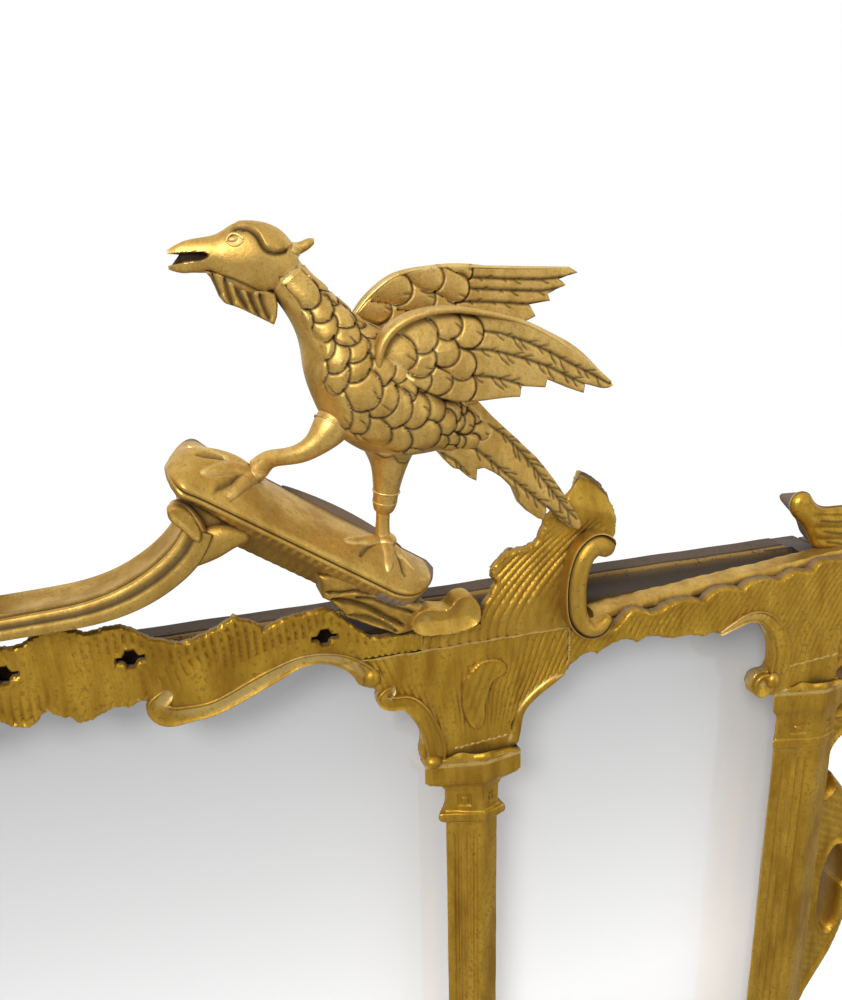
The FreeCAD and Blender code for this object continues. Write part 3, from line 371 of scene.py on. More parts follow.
def barbLines(line, pitch, reach, angle, start=0.1, stop=0.96):
    # short curved cuts leaving a rib at an angle, for the barbs of a feather
    fine = spline(line, 80)
    ahead = headings(fine)
    whole = np.linalg.norm(np.diff(fine, axis=0), axis=1).sum()
    found = []
    for count, share in enumerate(np.arange(start, stop, pitch / whole)):
        k = int(79 * min(1.0, share + 0.25 * pitch / whole * math.sin(count * 2.3)))
        length = reach * (0.8 + 0.3 * math.sin(count * 1.7 + angle))
        knots = [fine[k]]
        for step, turn in ((0.45, angle * 1.25), (0.55, angle * 0.7)):
            a = math.radians(turn)
            way = np.array([ahead[k][0] * math.cos(a) - ahead[k][1] * math.sin(a),
                            ahead[k][0] * math.sin(a) + ahead[k][1] * math.cos(a)])
            knots.append(knots[-1] + way * length * step)
        found.append(np.array(knots))
    return found


def paintScale(height, dark, along, across, half, length, slit=None):
    # one rounded feather end laid over what is there; along is measured from the middle of its round end
    reach = np.where(along > 0, np.hypot(along, across), np.abs(across))
    edge = reach - half
    # the dark line just outside the round end, on what lies beneath, is painted shade cast by the end
    rim = (along > -0.5 * half) & (edge > -0.1) & (edge < 2.8)
    line = np.exp(-((edge - 0.6) / 0.95) ** 2) * np.clip((along / half + 0.5) / 0.4, 0, 1)
    dark[rim] = np.maximum(dark[rim], line[rim])
    height[rim] = np.minimum(height[rim], height[rim] - 0.8 * line[rim])
    inside = (edge <= 0) & (along > -length)
    share = np.clip(reach / half, 0, 1)
    lift = 1.8 * np.clip(0.5 + 0.5 * along / half, 0, 1) + 1.1 * (1 - share ** 2) - 1.2 * share ** 12
    cut = np.zeros(len(along))
    if slit is not None:
        middle = slit * half * (1.25 - 0.5 * along / half)
        cut = np.exp(-((across - middle) / 0.6) ** 2) * np.clip((along / half - 0.3) / 0.25, 0, 1)
    height[inside] = (lift - 0.7 * cut)[inside]
    dark[inside] = (0.85 * cut)[inside]


def mirrored(part, axis=0, plane=0.0):
    points, faces, finish = part
    flip, shift = np.ones(3), np.zeros(3)
    flip[axis], shift[axis] = -1, 2 * plane
    return points * flip + shift, [tuple(reversed(face)) for face in faces], finish


def carvedPair(loops, middle, thick, field, step):
    # the same carving on both faces of a thin board; field(x, z) gives height and darkness
    def cut(x, z, gap):
        return edgeRound(gap, 1.6) - field(x, z)[0]
    face = reliefBoard(loops, middle, middle - thick, cut, step, bareBack=False)
    front = len(face[0]) // 2
    face[2][:front, 1] = field(face[0][:front, 0], face[0][:front, 2])[1]
    return [face, mirrored(face, 1, middle)]


def leafShell(place, length, half, shape, rows, cols):
    # one ribbed leaf; place(along, across, height) puts it on its surface
    tip, root = 0.45, 0.72  # where it starts to narrow, and how wide its foot is
    early = max(3, int(round(rows * 0.4)))
    shares = [tip * k / early for k in range(early)]
    shares += [tip + (1 - tip) * math.sin(a) for a in np.linspace(0, 0.965 * math.pi / 2, rows - early)]
    across = np.linspace(-1, 1, cols)
    across = np.sign(across) * np.abs(across) ** 1.35
    points, low, dark = [], [], []
    for u in shares:
        t = max(0.0, (u - tip) / (1 - tip))
        wide = half * (root + (1 - root) * math.sin(math.pi / 2 * min(1, u / tip))) if t == 0 \
            else half * (1 - t * t) ** 0.5
        for v in across:
            edge = abs(v)
            height = shape["lift"] * u ** 1.3 + shape["dome"] * (1 - edge ** 2) - shape["soft"] * edge ** 7
            height -= shape["soft"] * max(0.0, (t - 0.75) / 0.25) ** 2
            vein = math.exp(-((edge - 0.2) / 0.07) ** 2)
            height += shape["rib"] * (math.exp(-(v / 0.1) ** 2) - 0.55 * vein)
            line = 0.75 * math.exp(-((edge - 0.2) / 0.08) ** 2) * min(1.0, 1.6 - 1.4 * u)
            step = (u * length - shape["slant"] * edge * half) / shape["pitch"]
            step -= math.floor(step)
            strength = min(1.0, max(0.0, (edge - 0.18) / 0.25))
            height -= shape["barb"] * (1 - step) * strength
            points.append(place(u * length, v * wide, height))
            dark.append(max(line, 0.6 * strength * (step < 0.16)))
        low += [place(u * length, side * wide * 0.97, -shape["sink"]) for side in (-1, 1)]
    base = rows * cols
    faces = []
    for row in range(rows - 1):
        for k in range(cols - 1):
            a = row * cols + k
            faces.append((a, a + 1, a + cols + 1, a + cols))
        left, right = base + 2 * row, base + 2 * row + 1
        faces.append((row * cols, (row + 1) * cols, left + 2, left))
        faces.append((row * cols + cols - 1, right, right + 2, (row + 1) * cols + cols - 1))
        faces.append((left, left + 2, right + 2, right))
    faces.append(tuple(range(cols))[::-1] + (base, base + 1))
    last = (rows - 1) * cols
    faces.append(tuple(last + k for k in range(cols)) + (base + 2 * rows - 1, base + 2 * rows - 2))
    part = asPart(points + low, faces)
    part[2][:len(dark), 1] = dark
    return outward(part)


# materials

black, white = (0, 0, 0), (1, 1, 1)


def feed(tree, socket, value):
    # links a socket to another one, or gives it a plain value
    if isinstance(value, bpy.types.NodeSocket):
        tree.links.new(value, socket)
    else:
        socket.default_value = (*value, 1) if socket.type == "RGBA" else value


def addNode(tree, kind, *values, **settings):
    # values fill the first inputs in order, settings name an input or a property
    node = tree.nodes.new("ShaderNode" + kind)
    for key, value in settings.items():
        if key in node.inputs:
            feed(tree, node.inputs[key], value)
        else:
            setattr(node, key, value)
    for socket, value in zip(node.inputs, values):
        feed(tree, socket, value)
    return node


def dress(tree, shader, inputs):
    for name, value in inputs.items():
        feed(tree, shader.inputs[name], value)


def addMath(tree, operation, *values):
    return addNode(tree, "Math", *values, operation=operation).outputs[0]


def addRange(tree, value, low, high, start=0.0, end=1.0):
    return addNode(tree, "MapRange", value, start, end, low, high).outputs[0]


def addNoise(tree, vector, scale, detail, roughness, distortion=0.0):
    return addNode(tree, "TexNoise", vector, Scale=scale, Detail=detail, Roughness=roughness,
                   Distortion=distortion).outputs["Fac"]


def addBump(tree, height, strength, distance):
    return addNode(tree, "Bump", Strength=strength, Distance=distance, Height=height).outputs[0]


def addRamp(tree, value, stops):
    ramp = addNode(tree, "ValToRGB", value)
    while len(ramp.color_ramp.elements) < len(stops):
        ramp.color_ramp.elements.new(0.5)
    for element, (at, colour) in zip(ramp.color_ramp.elements, stops):
        element.position = at
        element.color = (*colour, 1)
    return ramp.outputs[0]


def mixColour(tree, factor, first, second):
    mix = addNode(tree, "Mix", data_type="RGBA")
    for place, value in ((0, factor), (6, first), (7, second)):
        feed(tree, mix.inputs[place], value)
    return mix.outputs[2]


# scale, detail and roughness of each noise; the broad one is drawn out into upright streaks
oldSurface = {"streaks": (1.5, 1.5, 0.4), "broad": (38.0, 5.0, 0.65), "fine": (310.0, 4.0, 0.72),
              "grit": (900.0, 2.0, 0.6)}


def makeAgeing():
    # patchy tone, mottling, small pits and fine unevenness of an old surface
    group = bpy.data.node_groups.new("ageing", "ShaderNodeTree")
    group.interface.new_socket("Vector", in_out="INPUT", socket_type="NodeSocketVector")
    group.interface.new_socket("Scale", in_out="INPUT", socket_type="NodeSocketFloat")
    for label in ("Patches", "Mottle", "Specks", "Height"):
        group.interface.new_socket(label, in_out="OUTPUT", socket_type="NodeSocketFloat")
    entry, leave = group.nodes.new("NodeGroupInput"), group.nodes.new("NodeGroupOutput")
    scaled = addNode(group, "VectorMath", entry.outputs["Vector"], operation="SCALE",
                     Scale=entry.outputs["Scale"]).outputs[0]
    drawn = addNode(group, "VectorMath", scaled, oldSurface["streaks"], operation="MULTIPLY").outputs[0]
    broad = addNoise(group, drawn, *oldSurface["broad"])
    fine = addNoise(group, scaled, *oldSurface["fine"])
    grit = addNoise(group, scaled, *oldSurface["grit"])
    pitted = addMath(group, "MULTIPLY_ADD", broad, 0.35, fine)
    dress(group, leave, {"Patches": addRamp(group, broad, [(0.36, black), (0.66, white)]),
                         "Mottle": addRamp(group, fine, [(0.34, black), (0.66, white)]),
                         "Specks": addRamp(group, pitted, [(0.74, black), (0.84, white)]),
                         "Height": addMath(group, "MULTIPLY_ADD", grit, 0.4, fine)})
    return group


ageing = makeAgeing()


def newMaterial(name):
    material = bpy.data.materials.new(name)
    material.use_nodes = True
    tree = material.node_tree
    return material, tree, tree.nodes["Principled BSDF"]


def agedMaterial(name, scale):
    material, tree, shader = newMaterial(name)
    where = addNode(tree, "TexCoord").outputs["Object"]
    age = addNode(tree, "Group", node_tree=ageing, Vector=where, Scale=scale).outputs
    return material, tree, shader, where, age


def finishShares(tree):
    # bare wood, dark and pale shares painted on the mesh
    finish = addNode(tree, "Attribute", attribute_name="finish").outputs["Color"]
    return addNode(tree, "SeparateColor", finish).outputs[:3]


# the hollow colour below is a dark glaze and painted shade; the rubbed edge colour is wear and painted
# highlight; the line colour darkens carved lines and also paints shade
gilding = {"gold": (0.595, 0.358, 0.040), "deepGold": (0.34, 0.183, 0.017), "wornGold": (0.95, 0.665, 0.215),
           "wornDeep": (0.60, 0.37, 0.092), "brown": (0.47, 0.275, 0.066), "rubbedHighlight": (0.95, 0.74, 0.32),
           "bole": (0.15, 0.070, 0.024), "glazeAndShade": (0.060, 0.028, 0.009), "bareWood": (0.25, 0.185, 0.135),
           "line": (0.028, 0.014, 0.006), "rubHighlightAmount": 0.4, "speckAmount": 0.5, "recessShadeAmount": 0.92}


def makeGilding():
    material, tree, shader, where, age = agedMaterial("agedGildingWithPaintedShade", 1.0)
    bare, dark, pale = finishShares(tree)
    # hollows darkened from ambient occlusion: a dark glaze and painted shade
    hollow = addNode(tree, "AmbientOcclusion", samples=8, Distance=0.008).outputs["AO"]
    recessShade = addRamp(tree, hollow, [(0.28, white), (0.80, black)])
    recessShade = addMath(tree, "MULTIPLY", recessShade, gilding["recessShadeAmount"])
    # convex edges lightened from inward ambient occlusion: rubbed wear and painted highlight
    edges = addNode(tree, "AmbientOcclusion", samples=6, inside=True, Distance=0.0016).outputs["AO"]
    rubbedHighlight = addRamp(tree, edges, [(0.25, white), (0.72, black)])
    rubbedHighlight = addMath(tree, "MULTIPLY", rubbedHighlight, gilding["rubHighlightAmount"])
    specks = addMath(tree, "MULTIPLY", age["Specks"], gilding["speckAmount"])

    plain = mixColour(tree, age["Patches"], gilding["deepGold"], gilding["gold"])
    worn = mixColour(tree, age["Mottle"], gilding["wornDeep"], gilding["wornGold"])
    brown = mixColour(tree, age["Mottle"], gilding["brown"], gilding["wornDeep"])
    worn = mixColour(tree, age["Patches"], brown, worn)
    tone = mixColour(tree, pale, plain, worn)
    for amount, colour in ((rubbedHighlight, "rubbedHighlight"), (specks, "bole"), (recessShade, "glazeAndShade"), (bare, "bareWood"),
                           (dark, "line")):
        tone = mixColour(tree, amount, tone, gilding[colour])

    dull = addMath(tree, "MAXIMUM", addMath(tree, "MAXIMUM", bare, dark), recessShade)
    rough = addMath(tree, "MULTIPLY_ADD", dull, 0.3, addRange(tree, age["Patches"], 0.50, 0.36))
    dress(tree, shader, {"Base Color": tone, "Metallic": addRange(tree, dull, 0.82, 0.05), "Roughness": rough,
                         "Specular IOR Level": 0.25, "Normal": addBump(tree, age["Height"], 0.35, 0.0007)})
    return material


def makeWood(name, dark, light, roughness, scale):
    material, tree, shader, where, age = agedMaterial(name, 0.8)
    grain = addNoise(tree, addNode(tree, "Mapping", where, Scale=scale).outputs[0], 9.0, 6.0, 0.65, 0.6)
    streaks = addRamp(tree, grain, [(0.32, dark), (0.68, light)])
    tone = mixColour(tree, age["Specks"], streaks, tuple(c * 0.45 for c in dark))
    dress(tree, shader, {"Base Color": tone, "Roughness": roughness,
                         "Normal": addBump(tree, grain, 0.3, 0.0008)})
    return material


# tones of the painted reflection from bottom to top, the heights it runs between, foxing, and the strength of
# the painted glow
plate = {"low": (0.86, 0.86, 0.86), "middle": (0.60, 0.60, 0.60), "high": (0.38, 0.38, 0.385),
         "from": 0.60, "to": 1.0, "foxing": 0.05, "glow": 0.35, "mirror": 0.1}


def makePlate():
    # silvered plate with a painted reflection: greyer towards the top, where it meets the shaded room, paler
    # below, and glowing with the same tones though it is no lamp; with faint foxing
    material, tree, shader, where, age = agedMaterial("reflectionPaintedPlate", 0.25)
    height = addNode(tree, "SeparateXYZ", where).outputs["Z"]
    rise = addRange(tree, height, 0.0, 1.0, plate["from"], plate["to"])
    shade = addRamp(tree, rise, [(0.0, plate["low"]), (0.5, plate["middle"]), (1.0, plate["high"])])
    spots = addMath(tree, "MULTIPLY", age["Specks"], plate["foxing"])
    dress(tree, shader, {"Base Color": mixColour(tree, spots, shade, plate["middle"]),
                         "Emission Color": shade,
                         "Emission Strength": plate["glow"], "Metallic": plate["mirror"], "Roughness": 0.05})
    return material


railPaint = {"deep": (0.078, 0.050, 0.028), "light": (0.138, 0.090, 0.048), "bead": (0.34, 0.20, 0.045),
             "hollow": (0.035, 0.022, 0.012)}


def makeRail():
    # taupe rail with an ochre bead and darker hollow, from the finish attribute
    material, tree, shader, where, age = agedMaterial("paintedRail", 1.0)
    bead, hollow = finishShares(tree)[:2]
    tone = mixColour(tree, age["Mottle"], railPaint["deep"], railPaint["light"])
    for amount, colour in ((bead, "bead"), (hollow, "hollow"), (age["Specks"], "hollow")):
        tone = mixColour(tree, amount, tone, railPaint[colour])
    dress(tree, shader, {"Base Color": tone, "Roughness": 0.6, "Specular IOR Level": 0.25,
                         "Normal": addBump(tree, age["Height"], 0.3, 0.0006)})
    return material


def makeMetal(name, light, dark, roughness):
    material, tree, shader, where, age = agedMaterial(name, 2.0)
    dress(tree, shader, {"Base Color": mixColour(tree, age["Patches"], dark, light), "Metallic": 1.0,
                         "Roughness": roughness, "Normal": addBump(tree, age["Height"], 0.15, 0.0004)})
    return material


stain = {"dark": (0.055, 0.038, 0.028), "light": (0.125, 0.088, 0.064), "roughness": 0.62}
agedGildingWithPaintedShade = makeGilding()
stainedWood = makeWood("stainedWood", **stain, scale=(0.6, 9, 9))
uprightWood = makeWood("uprightWood", **stain, scale=(9, 9, 0.6))
agedPine = makeWood("agedPine", (0.20, 0.115, 0.055), (0.36, 0.23, 0.12), 0.75, (9, 9, 0.5))
reflectionPaintedPlate = makePlate()
paintedRail = makeRail()
dullBrass = makeMetal("dullBrass", (0.52, 0.37, 0.13), (0.30, 0.20, 0.07), 0.38)
brightIron = makeMetal("brightIron", (0.42, 0.40, 0.38), (0.24, 0.23, 0.22), 0.42)
print("materials ready")


# finished pieces: one mesh for the right-hand node, a mirrored one for the left

def finishPiece(name, part, node, material=agedGildingWithPaintedShade, angle=38, pale=0.0):
    points, faces, finish = part
    mesh = bpy.data.meshes.new(name)
    mesh.from_pydata((points * mm).tolist(), [], faces)
    mesh.update()
    shade = np.ones((len(points), 4), np.float32)
    shade[:, :2] = finish
    shade[:, 2] = pale
    mesh.attributes.new("finish", "FLOAT_COLOR", "POINT").data.foreach_set("color", shade.ravel())
    mesh.materials.append(material)
    piece = bpy.data.objects.new(name, mesh)
    bpy.context.collection.objects.link(piece)
    bpy.ops.object.select_all(action="DESELECT")
    bpy.context.view_layer.objects.active = piece
    piece.select_set(True)
    bpy.ops.object.shade_smooth_by_angle(angle=math.radians(angle))
    piece.select_set(False)
    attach(piece, "root")
    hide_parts(node)


def finishPair(name, parts, node, material=agedGildingWithPaintedShade, angle=38, pale=0.0):
    part = joinParts(parts)
    for side, shape in (("right", part), ("left", mirrored(part))):
        finishPiece(side + name, shape, f"{side}_{node}", material, angle, pale)
    print(name, len(part[1]), "faces")


# pilasters: a V-fronted section drawn up through mouldings, with flutes on the broad face

pilaster = {"arrisShare": 0.66, "nearDepth": 14.0, "arrisDepth": 24.0, "farDepth": 18.0, "wall": -48.0,
            "facePoints": (10, 44, 26, 12),
            "inner": {"forward": 6.0, "forwardShare": 0.27, "shift": 2.0, "undercut": 7.0},
            "outer": {"forward": 8.0, "forwardShare": 0.2, "shift": 2.0, "undercut": 18.0}}


def shaftLine(place):
    low, high = boxOf(f"right_{place}_shaft")
    return (low[0] + high[0]) / 2, high[0] - low[0]


shaftLines = {place: shaftLine(place) for place in ("inner", "outer")}


def pilasterOutline(place, overhang):
    # corners of the front: near flank foot, near edge, arris, far edge, far flank foot
    axis, width = shaftLines[place]
    seat, wall = pilaster[place], pilaster["wall"]
    left = axis + seat["shift"] - width / 2 - overhang
    right = axis + seat["shift"] + width / 2 + overhang
    ridge = axis + seat["shift"] - width / 2 + pilaster["arrisShare"] * width
    ahead = wall - seat["forward"] - seat["forwardShare"] * overhang
    return np.array([(left + overhang + seat["undercut"], wall), (left, ahead - pilaster["nearDepth"]),
                     (ridge, ahead - pilaster["arrisDepth"]), (right, ahead - pilaster["farDepth"]),
                     (right - overhang, wall)])


def pilasterStack(place, levels, detail):
    # levels: height and overhang rows; detail(face, share, z) gives how deep the face is cut
    rings = []
    for z, overhang in levels:
        corners = pilasterOutline(place, overhang)
        ring = []
        for face, count in enumerate(pilaster["facePoints"]):
            start = corners[face]
            run = corners[face + 1] - start
            inward = leftOf(run) / np.linalg.norm(run)
            for k in range(count):
                spot = start + run * k / count + inward * detail(face, k / count, z)
                ring.append((spot[0], spot[1], z))
        rings.append(ring + [(corners[4][0], corners[4][1], z)])
    return loftRings(rings)


def softCorner(share, size):
    near = min(share, 1 - share) / size
    return max(0.0, 1 - near) ** 2


shaft = {"fluteShares": (0.27, 0.44, 0.60, 0.78), "half": 0.068, "depth": 1.6, "margin": 10.0}


def buildShaft(place):
    low, high = boxOf(f"right_{place}_shaft")

    def cut(face, share, z):
        deep = 0.7 * softCorner(share, 0.07)
        deep += 0.3 * math.sin(z / 41 + face) * math.sin(share * 5 + z / 97)  # worn and hand cut
        deep += 0.12 * math.sin(z / 7.7 + share * 9)
        if face == 1:
            inset = min(z - low[2], high[2] - z) - shaft["margin"]
            for count, centre in enumerate(shaft["fluteShares"]):
                off = abs(share - centre) / shaft["half"]
                if inset > -3 and off < 1:
                    end = np.clip((inset + 3 * (1 - off ** 2)) / 5, 0, 1)
                    uneven = 0.85 + 0.15 * math.sin(z / 53 + 2 * count)
                    deep += shaft["depth"] * (1 - off ** 2) ** 0.7 * end * uneven
        return deep
    heights = np.unique(np.concatenate([np.arange(low[2], high[2], 5.0), np.linspace(low[2], low[2] + 34, 18),
                                        np.linspace(high[2] - 34, high[2], 18)]))
    part = pilasterStack(place, [(z, 0.0) for z in heights], cut)
    finishPair(f"{place.capitalize()}Shaft", [part], f"{place}_shaft", angle=30)


def profileLevels(knots, foot, height, overhang, count=60):
    # smooth moulding through (rise share, overhang share) knots with rounded members between them
    levels = []
    for (r0, o0), (r1, o1) in zip(knots, knots[1:]):
        steps = max(2, int(count * (r1 - r0)) + 2)
        for k in range(steps):
            t = k / steps
            ease = t * t * (3 - 2 * t)
            levels.append((foot + height * (r0 + (r1 - r0) * t), overhang * (o0 + (o1 - o0) * ease)))
    levels.append((foot + height * knots[-1][0], overhang * knots[-1][1]))
    return levels


capital = {"knots": ((0, 0.03), (0.02, 0.2), (0.05, 0.33), (0.10, 0.38), (0.145, 0.37), (0.165, 0.30),
                     (0.175, 0.12), (0.19, 0.05), (0.50, 0.05), (0.53, 0.13), (0.56, 0.17), (0.60, 0.32),
                     (0.645, 0.64), (0.68, 0.88), (0.70, 0.92), (0.72, 1.0), (0.93, 1.0), (1, 0.95)),
           "soft": 0.9, "wave": (0.3, 6.0, 9.0), "panelRise": (0.25, 0.44), "panelShares": (0.32, 0.70),
           "slope": 0.02, "panelDepth": 1.5, "island": 0.25, "ridge": 6.0}
base = {"knots": ((0, 1), (0.42, 1), (0.47, 0.9), (0.5, 0.72), (0.56, 0.78), (0.62, 0.82), (0.68, 0.76),
                  (0.72, 0.5), (0.8, 0.3), (0.86, 0.36), (0.9, 0.36), (0.95, 0.2), (1, 0.03)),
        "soft": 0.7, "wave": (0.25, 7.0, 8.0), "panelRise": (0.1, 0.36), "panelShares": (0.14, 0.86),
        "slope": 0.03, "panelDepth": 1.4, "island": 1.0, "ridge": 0.0}


def ridgePart(corners, top, rise):
    # rough ridge over the front edge of the abacus, highest near the arris
    first = np.linalg.norm(corners[2] - corners[1])
    whole = first + np.linalg.norm(corners[3] - corners[2])
    rings = []
    for share in np.linspace(0.01, 0.99, 54):
        run = share * whole
        if run < first:
            spot = corners[1] + (corners[2] - corners[1]) * run / first
        else:
            spot = corners[2] + (corners[3] - corners[2]) * (run - first) / (whole - first)
        high = rise * (0.12 + 0.88 * math.sin(math.pi * share ** 0.85)) + 0.8 * math.sin(share * 23)
        lean = 1.2 * math.sin(share * 17 + 1)
        section = ((0.7, -3), (0.9, 0.35 * high), (1.8, 0.85 * high), (3.2, high), (5.4, 0.8 * high),
                   (6.6, 0.3 * high), (9, 0.1 * high), (15, -3))
        rings.append([(spot[0], spot[1] + y + lean * (z > 0), top + z) for y, z in section])
    part = loftRings(rings)
    # the rear slope is coloured dark: painted shade behind the ridge
    part[2][:, 1] = np.tile((0, 0, 0, 0, 0.5, 1, 1, 0.6), len(rings))
    return part


def buildEnd(place, kind, shape):
    # capital or base: a moulding round the shaft's section, with a sunk panel on the two front faces
    low, high = boxOf(f"right_{place}_{kind}")
    height, overhang = high[2] - low[2], (high[0] - low[0] - shaftLines[place][1]) / 2
    (a, b), (c, d) = shape["panelRise"], shape["panelShares"]
    wave, period, turn = shape["wave"]

    def cut(face, share, z):
        rise = (z - low[2]) / height
        deep = shape["soft"] * softCorner(share, 0.05) + wave * math.sin(z / period + turn * share + face)
        if face in (1, 2) and a < rise < b and c < share < d:
            inset = min((rise - a) / shape["slope"], (b - rise) / shape["slope"], (share - c) / 0.05,
                        (d - share) / 0.05, 1)
            island = min(rise - a, b - rise) > 0.05 and min(share - c, d - share) > 0.1
            deep += shape["panelDepth"] * inset * (shape["island"] if island else 1)
        return deep
    parts = [pilasterStack(place, profileLevels(shape["knots"], low[2], height, overhang), cut)]
    if shape["ridge"]:
        parts.append(ridgePart(pilasterOutline(place, overhang), high[2], shape["ridge"]))
    finishPair(f"{place.capitalize()}{kind.capitalize()}", parts, f"{place}_{kind}", angle=40)


for place in ("inner", "outer"):
    buildShaft(place)
    buildEnd(place, "capital", capital)
    buildEnd(place, "base", base)


# plinth moulding with a carved leaf run in its hollow

plinth = {"leafPitch": 26.0, "leafHalf": 11.0, "leafLength": 29.0, "leafFoot": 24.0,
          "leaf": {"lift": 0.8, "dome": 1.8, "soft": 1.0, "sink": 2.0, "rib": 1.2, "barb": 0.7, "pitch": 4.0,
                   "slant": 0.6},
          "hollow": ((20, 4), (27, 8), (33, 10.5), (40, 11.5), (47, 10.5), (53, 7), (57, 3.4))}


def buildPlinth():
    low, high = boxOf("plinth_moulding")
    front, wall, top = low[1], high[1], high[2]
    profile = [(wall, 0), (front + 1, 0), (front, 1), (front, 17), (front + 1.2, 19.5), (front + 4, 20.5),
               (front + 4.5, 23), (front + 8, 27), (front + 10.5, 33), (front + 11.5, 40), (front + 10.5, 47),
               (front + 7, 53), (front + 3.5, 56), (front + 3, 58.5), (front + 1, 60), (front, 63),
               (front, top - 2), (front + 1.5, top), (wall, top)]
    parts = [loftRings([[(x, y, z) for y, z in profile] for x in np.linspace(low[0], high[0], 160)])]
    count = int((high[0] - low[0]) / plinth["leafPitch"]) - 1
    start = -plinth["leafPitch"] * (count - 1) / 2
    levels, depths = zip(*plinth["hollow"])
    for k in range(count):
        centre = start + plinth["leafPitch"] * k

        def place(along, across, height, centre=centre):
            z = plinth["leafFoot"] + along
            return (centre + across, front + np.interp(z, levels, depths) - height, z)
        parts.append(leafShell(place, plinth["leafLength"], plinth["leafHalf"], plinth["leaf"], 10, 9))
    finishPiece("plinthMoulding", joinParts(parts), "plinth_moulding", angle=35)


buildPlinth()
print("pilasters and plinth done")


# carved boards: rippled flutes cut into the front, smooth scrolls planted along their edges

flutes = {"pitch": 5.4, "depth": 2.1, "edge": 1.8, "step": 1.0}
friezeCrosses = {"places": ((118, 1026), (194, 1024), (322, 1018)), "half": (9.0, 6.0),
                 "shares": ((1, 0.28), (0.55, 0.3), (0.42, 0.62), (0.3, 1), (-0.3, 1), (-0.42, 0.62),
                            (-0.55, 0.3), (-1, 0.28), (-1, -0.28), (-0.55, -0.34), (-0.36, -0.62),
                            (-0.26, -1), (0.26, -1), (0.36, -0.62), (0.55, -0.34), (1, -0.28))}


def crossHole(x, z):
    wide, tall = friezeCrosses["half"]
    return np.array([(x + wide * a, z + tall * b) for a, b in friezeCrosses["shares"]])


def friezeCut(x, z, gap):
    side = np.abs(x)
    phase = side / flutes["pitch"] + 0.28 * ripple(side, z, 0.4) + 0.10 * (z - 1010) / flutes["pitch"]
    strength = np.clip(0.8 + 0.35 * ripple(side * 0.6, z * 0.6, 1.9), 0.35, 1.15)
    scroll = np.interp(side, (205, 224, 257, 290, 318, 350), (985, 979, 985, 999, 1003.5, 988))
    calm = np.where(side > 203, np.clip((z - scroll - 9) / 12, 0.1, 1), 1)
    fade = np.clip((gap - 0.8) / 4, 0.3, 1)
    pits = 0.5 * np.clip(1 - gap / 9, 0, 1) * (1 + np.sin(side * 1.3 + 2 * np.sin(z * 0.9))) * (z < 1005)
    return flutes["depth"] * reeds(phase) * strength * fade * calm + edgeRound(gap, flutes["edge"]) \
        + 0.4 * ripple(side, z, 3.1) + pits


edgeScrolls = {
    "friezeScroll": ((212, 993, 6, 5), (207.5, 988, 7.5, 6), (211, 981.5, 8, 6.5), (224, 979, 6.8, 6),
                     (239, 979.5, 6, 5.5), (257, 985, 6, 5.5), (275, 993, 6.2, 5.5), (290, 999, 5.5, 5.2),
                     (303, 1003.3, 4.6, 5), (318, 1003.5, 4.2, 4.6), (330, 1000.5, 4.8, 5),
                     (341, 994, 6, 5.5), (349, 986, 7.6, 6)),
    "spandrelScroll": ((367, 968, 4.5, 4), (362.5, 964.5, 6, 5.5), (367, 960, 6, 5.8), (377, 958.5, 6, 5.5),
                       (387, 950, 7, 5.5), (394, 938, 7.2, 5.5), (398, 927, 7.6, 5.5), (400.5, 916, 8, 5.5),
                       (401, 908, 7.5, 5.5)),
    "spandrelFar": ((506, 956.5, 1.6, 2.2), (499, 954.5, 3.6, 4), (488, 948.8, 4.4, 4.6),
                    (477, 940.5, 4.2, 4.6), (469.5, 930, 4, 4.4), (467, 919, 4.4, 4.6), (464, 908, 5.5, 5)),
    "archScroll": ((647, 968, 2, 2.4), (657, 973.5, 3.4, 4), (670, 978.5, 4.6, 4.8), (683, 977, 5.6, 5.2),
                   (694, 968.5, 7, 5.6), (702, 955, 8.6, 6), (705.5, 940, 9.2, 6.2), (704, 926, 8.6, 6)),
}


# flat strap between two raised edges
strapSection = ((1.0, -0.8), (1.0, 0.5), (0.93, 0.85), (0.8, 0.95), (0.66, 0.82), (0.5, 0.6), (0.0, 0.62),
                (-0.5, 0.66), (-0.7, 0.9), (-0.84, 1.0), (-0.95, 0.85), (-1.0, 0.5), (-1.0, -0.8))


def buildFrieze():
    low, high = boxOf("centre_frieze")
    places = [(side * x, z) for x, z in friezeCrosses["places"] for side in (1, -1)]
    end = high[0] - 0.5
    board = reliefBoard(capLoops("centre_frieze", 1), high[1], low[1], friezeCut, flutes["step"],
                        [crossHole(x, z) for x, z in places], joint=lambda x, z: abs(x) > end,
                        bevel=15.0, chip=0.55, stretch=1.9)
    knots = [(x, z, half, 0.72 * rise) for x, z, half, rise in edgeScrolls["friezeScroll"]]
    scroll = sweepBand(knots, 90, strapSection, low[1] + 2)
    scroll[2][:, 1] = 0.16
    ball = knob((354, low[1] + 0.5, 982), (6.6, 5.6, 7.2), dark=0.1)
    parts = [board, scroll, mirrored(scroll), ball, mirrored(ball)]
    # near-black ground behind each piercing: painted shade, standing in for the shaded rail seen through it
    parts += [knob((x, high[1] - 9, z), (13, 3, 10), 16, 8, dark=1.0) for x, z in places]
    finishPiece("centreFrieze", joinParts(parts), "centre_frieze", angle=42)


innerSpandrel = {"foot": 902.0, "middle": 428.0, "pitch": 5.6, "depth": 1.45}


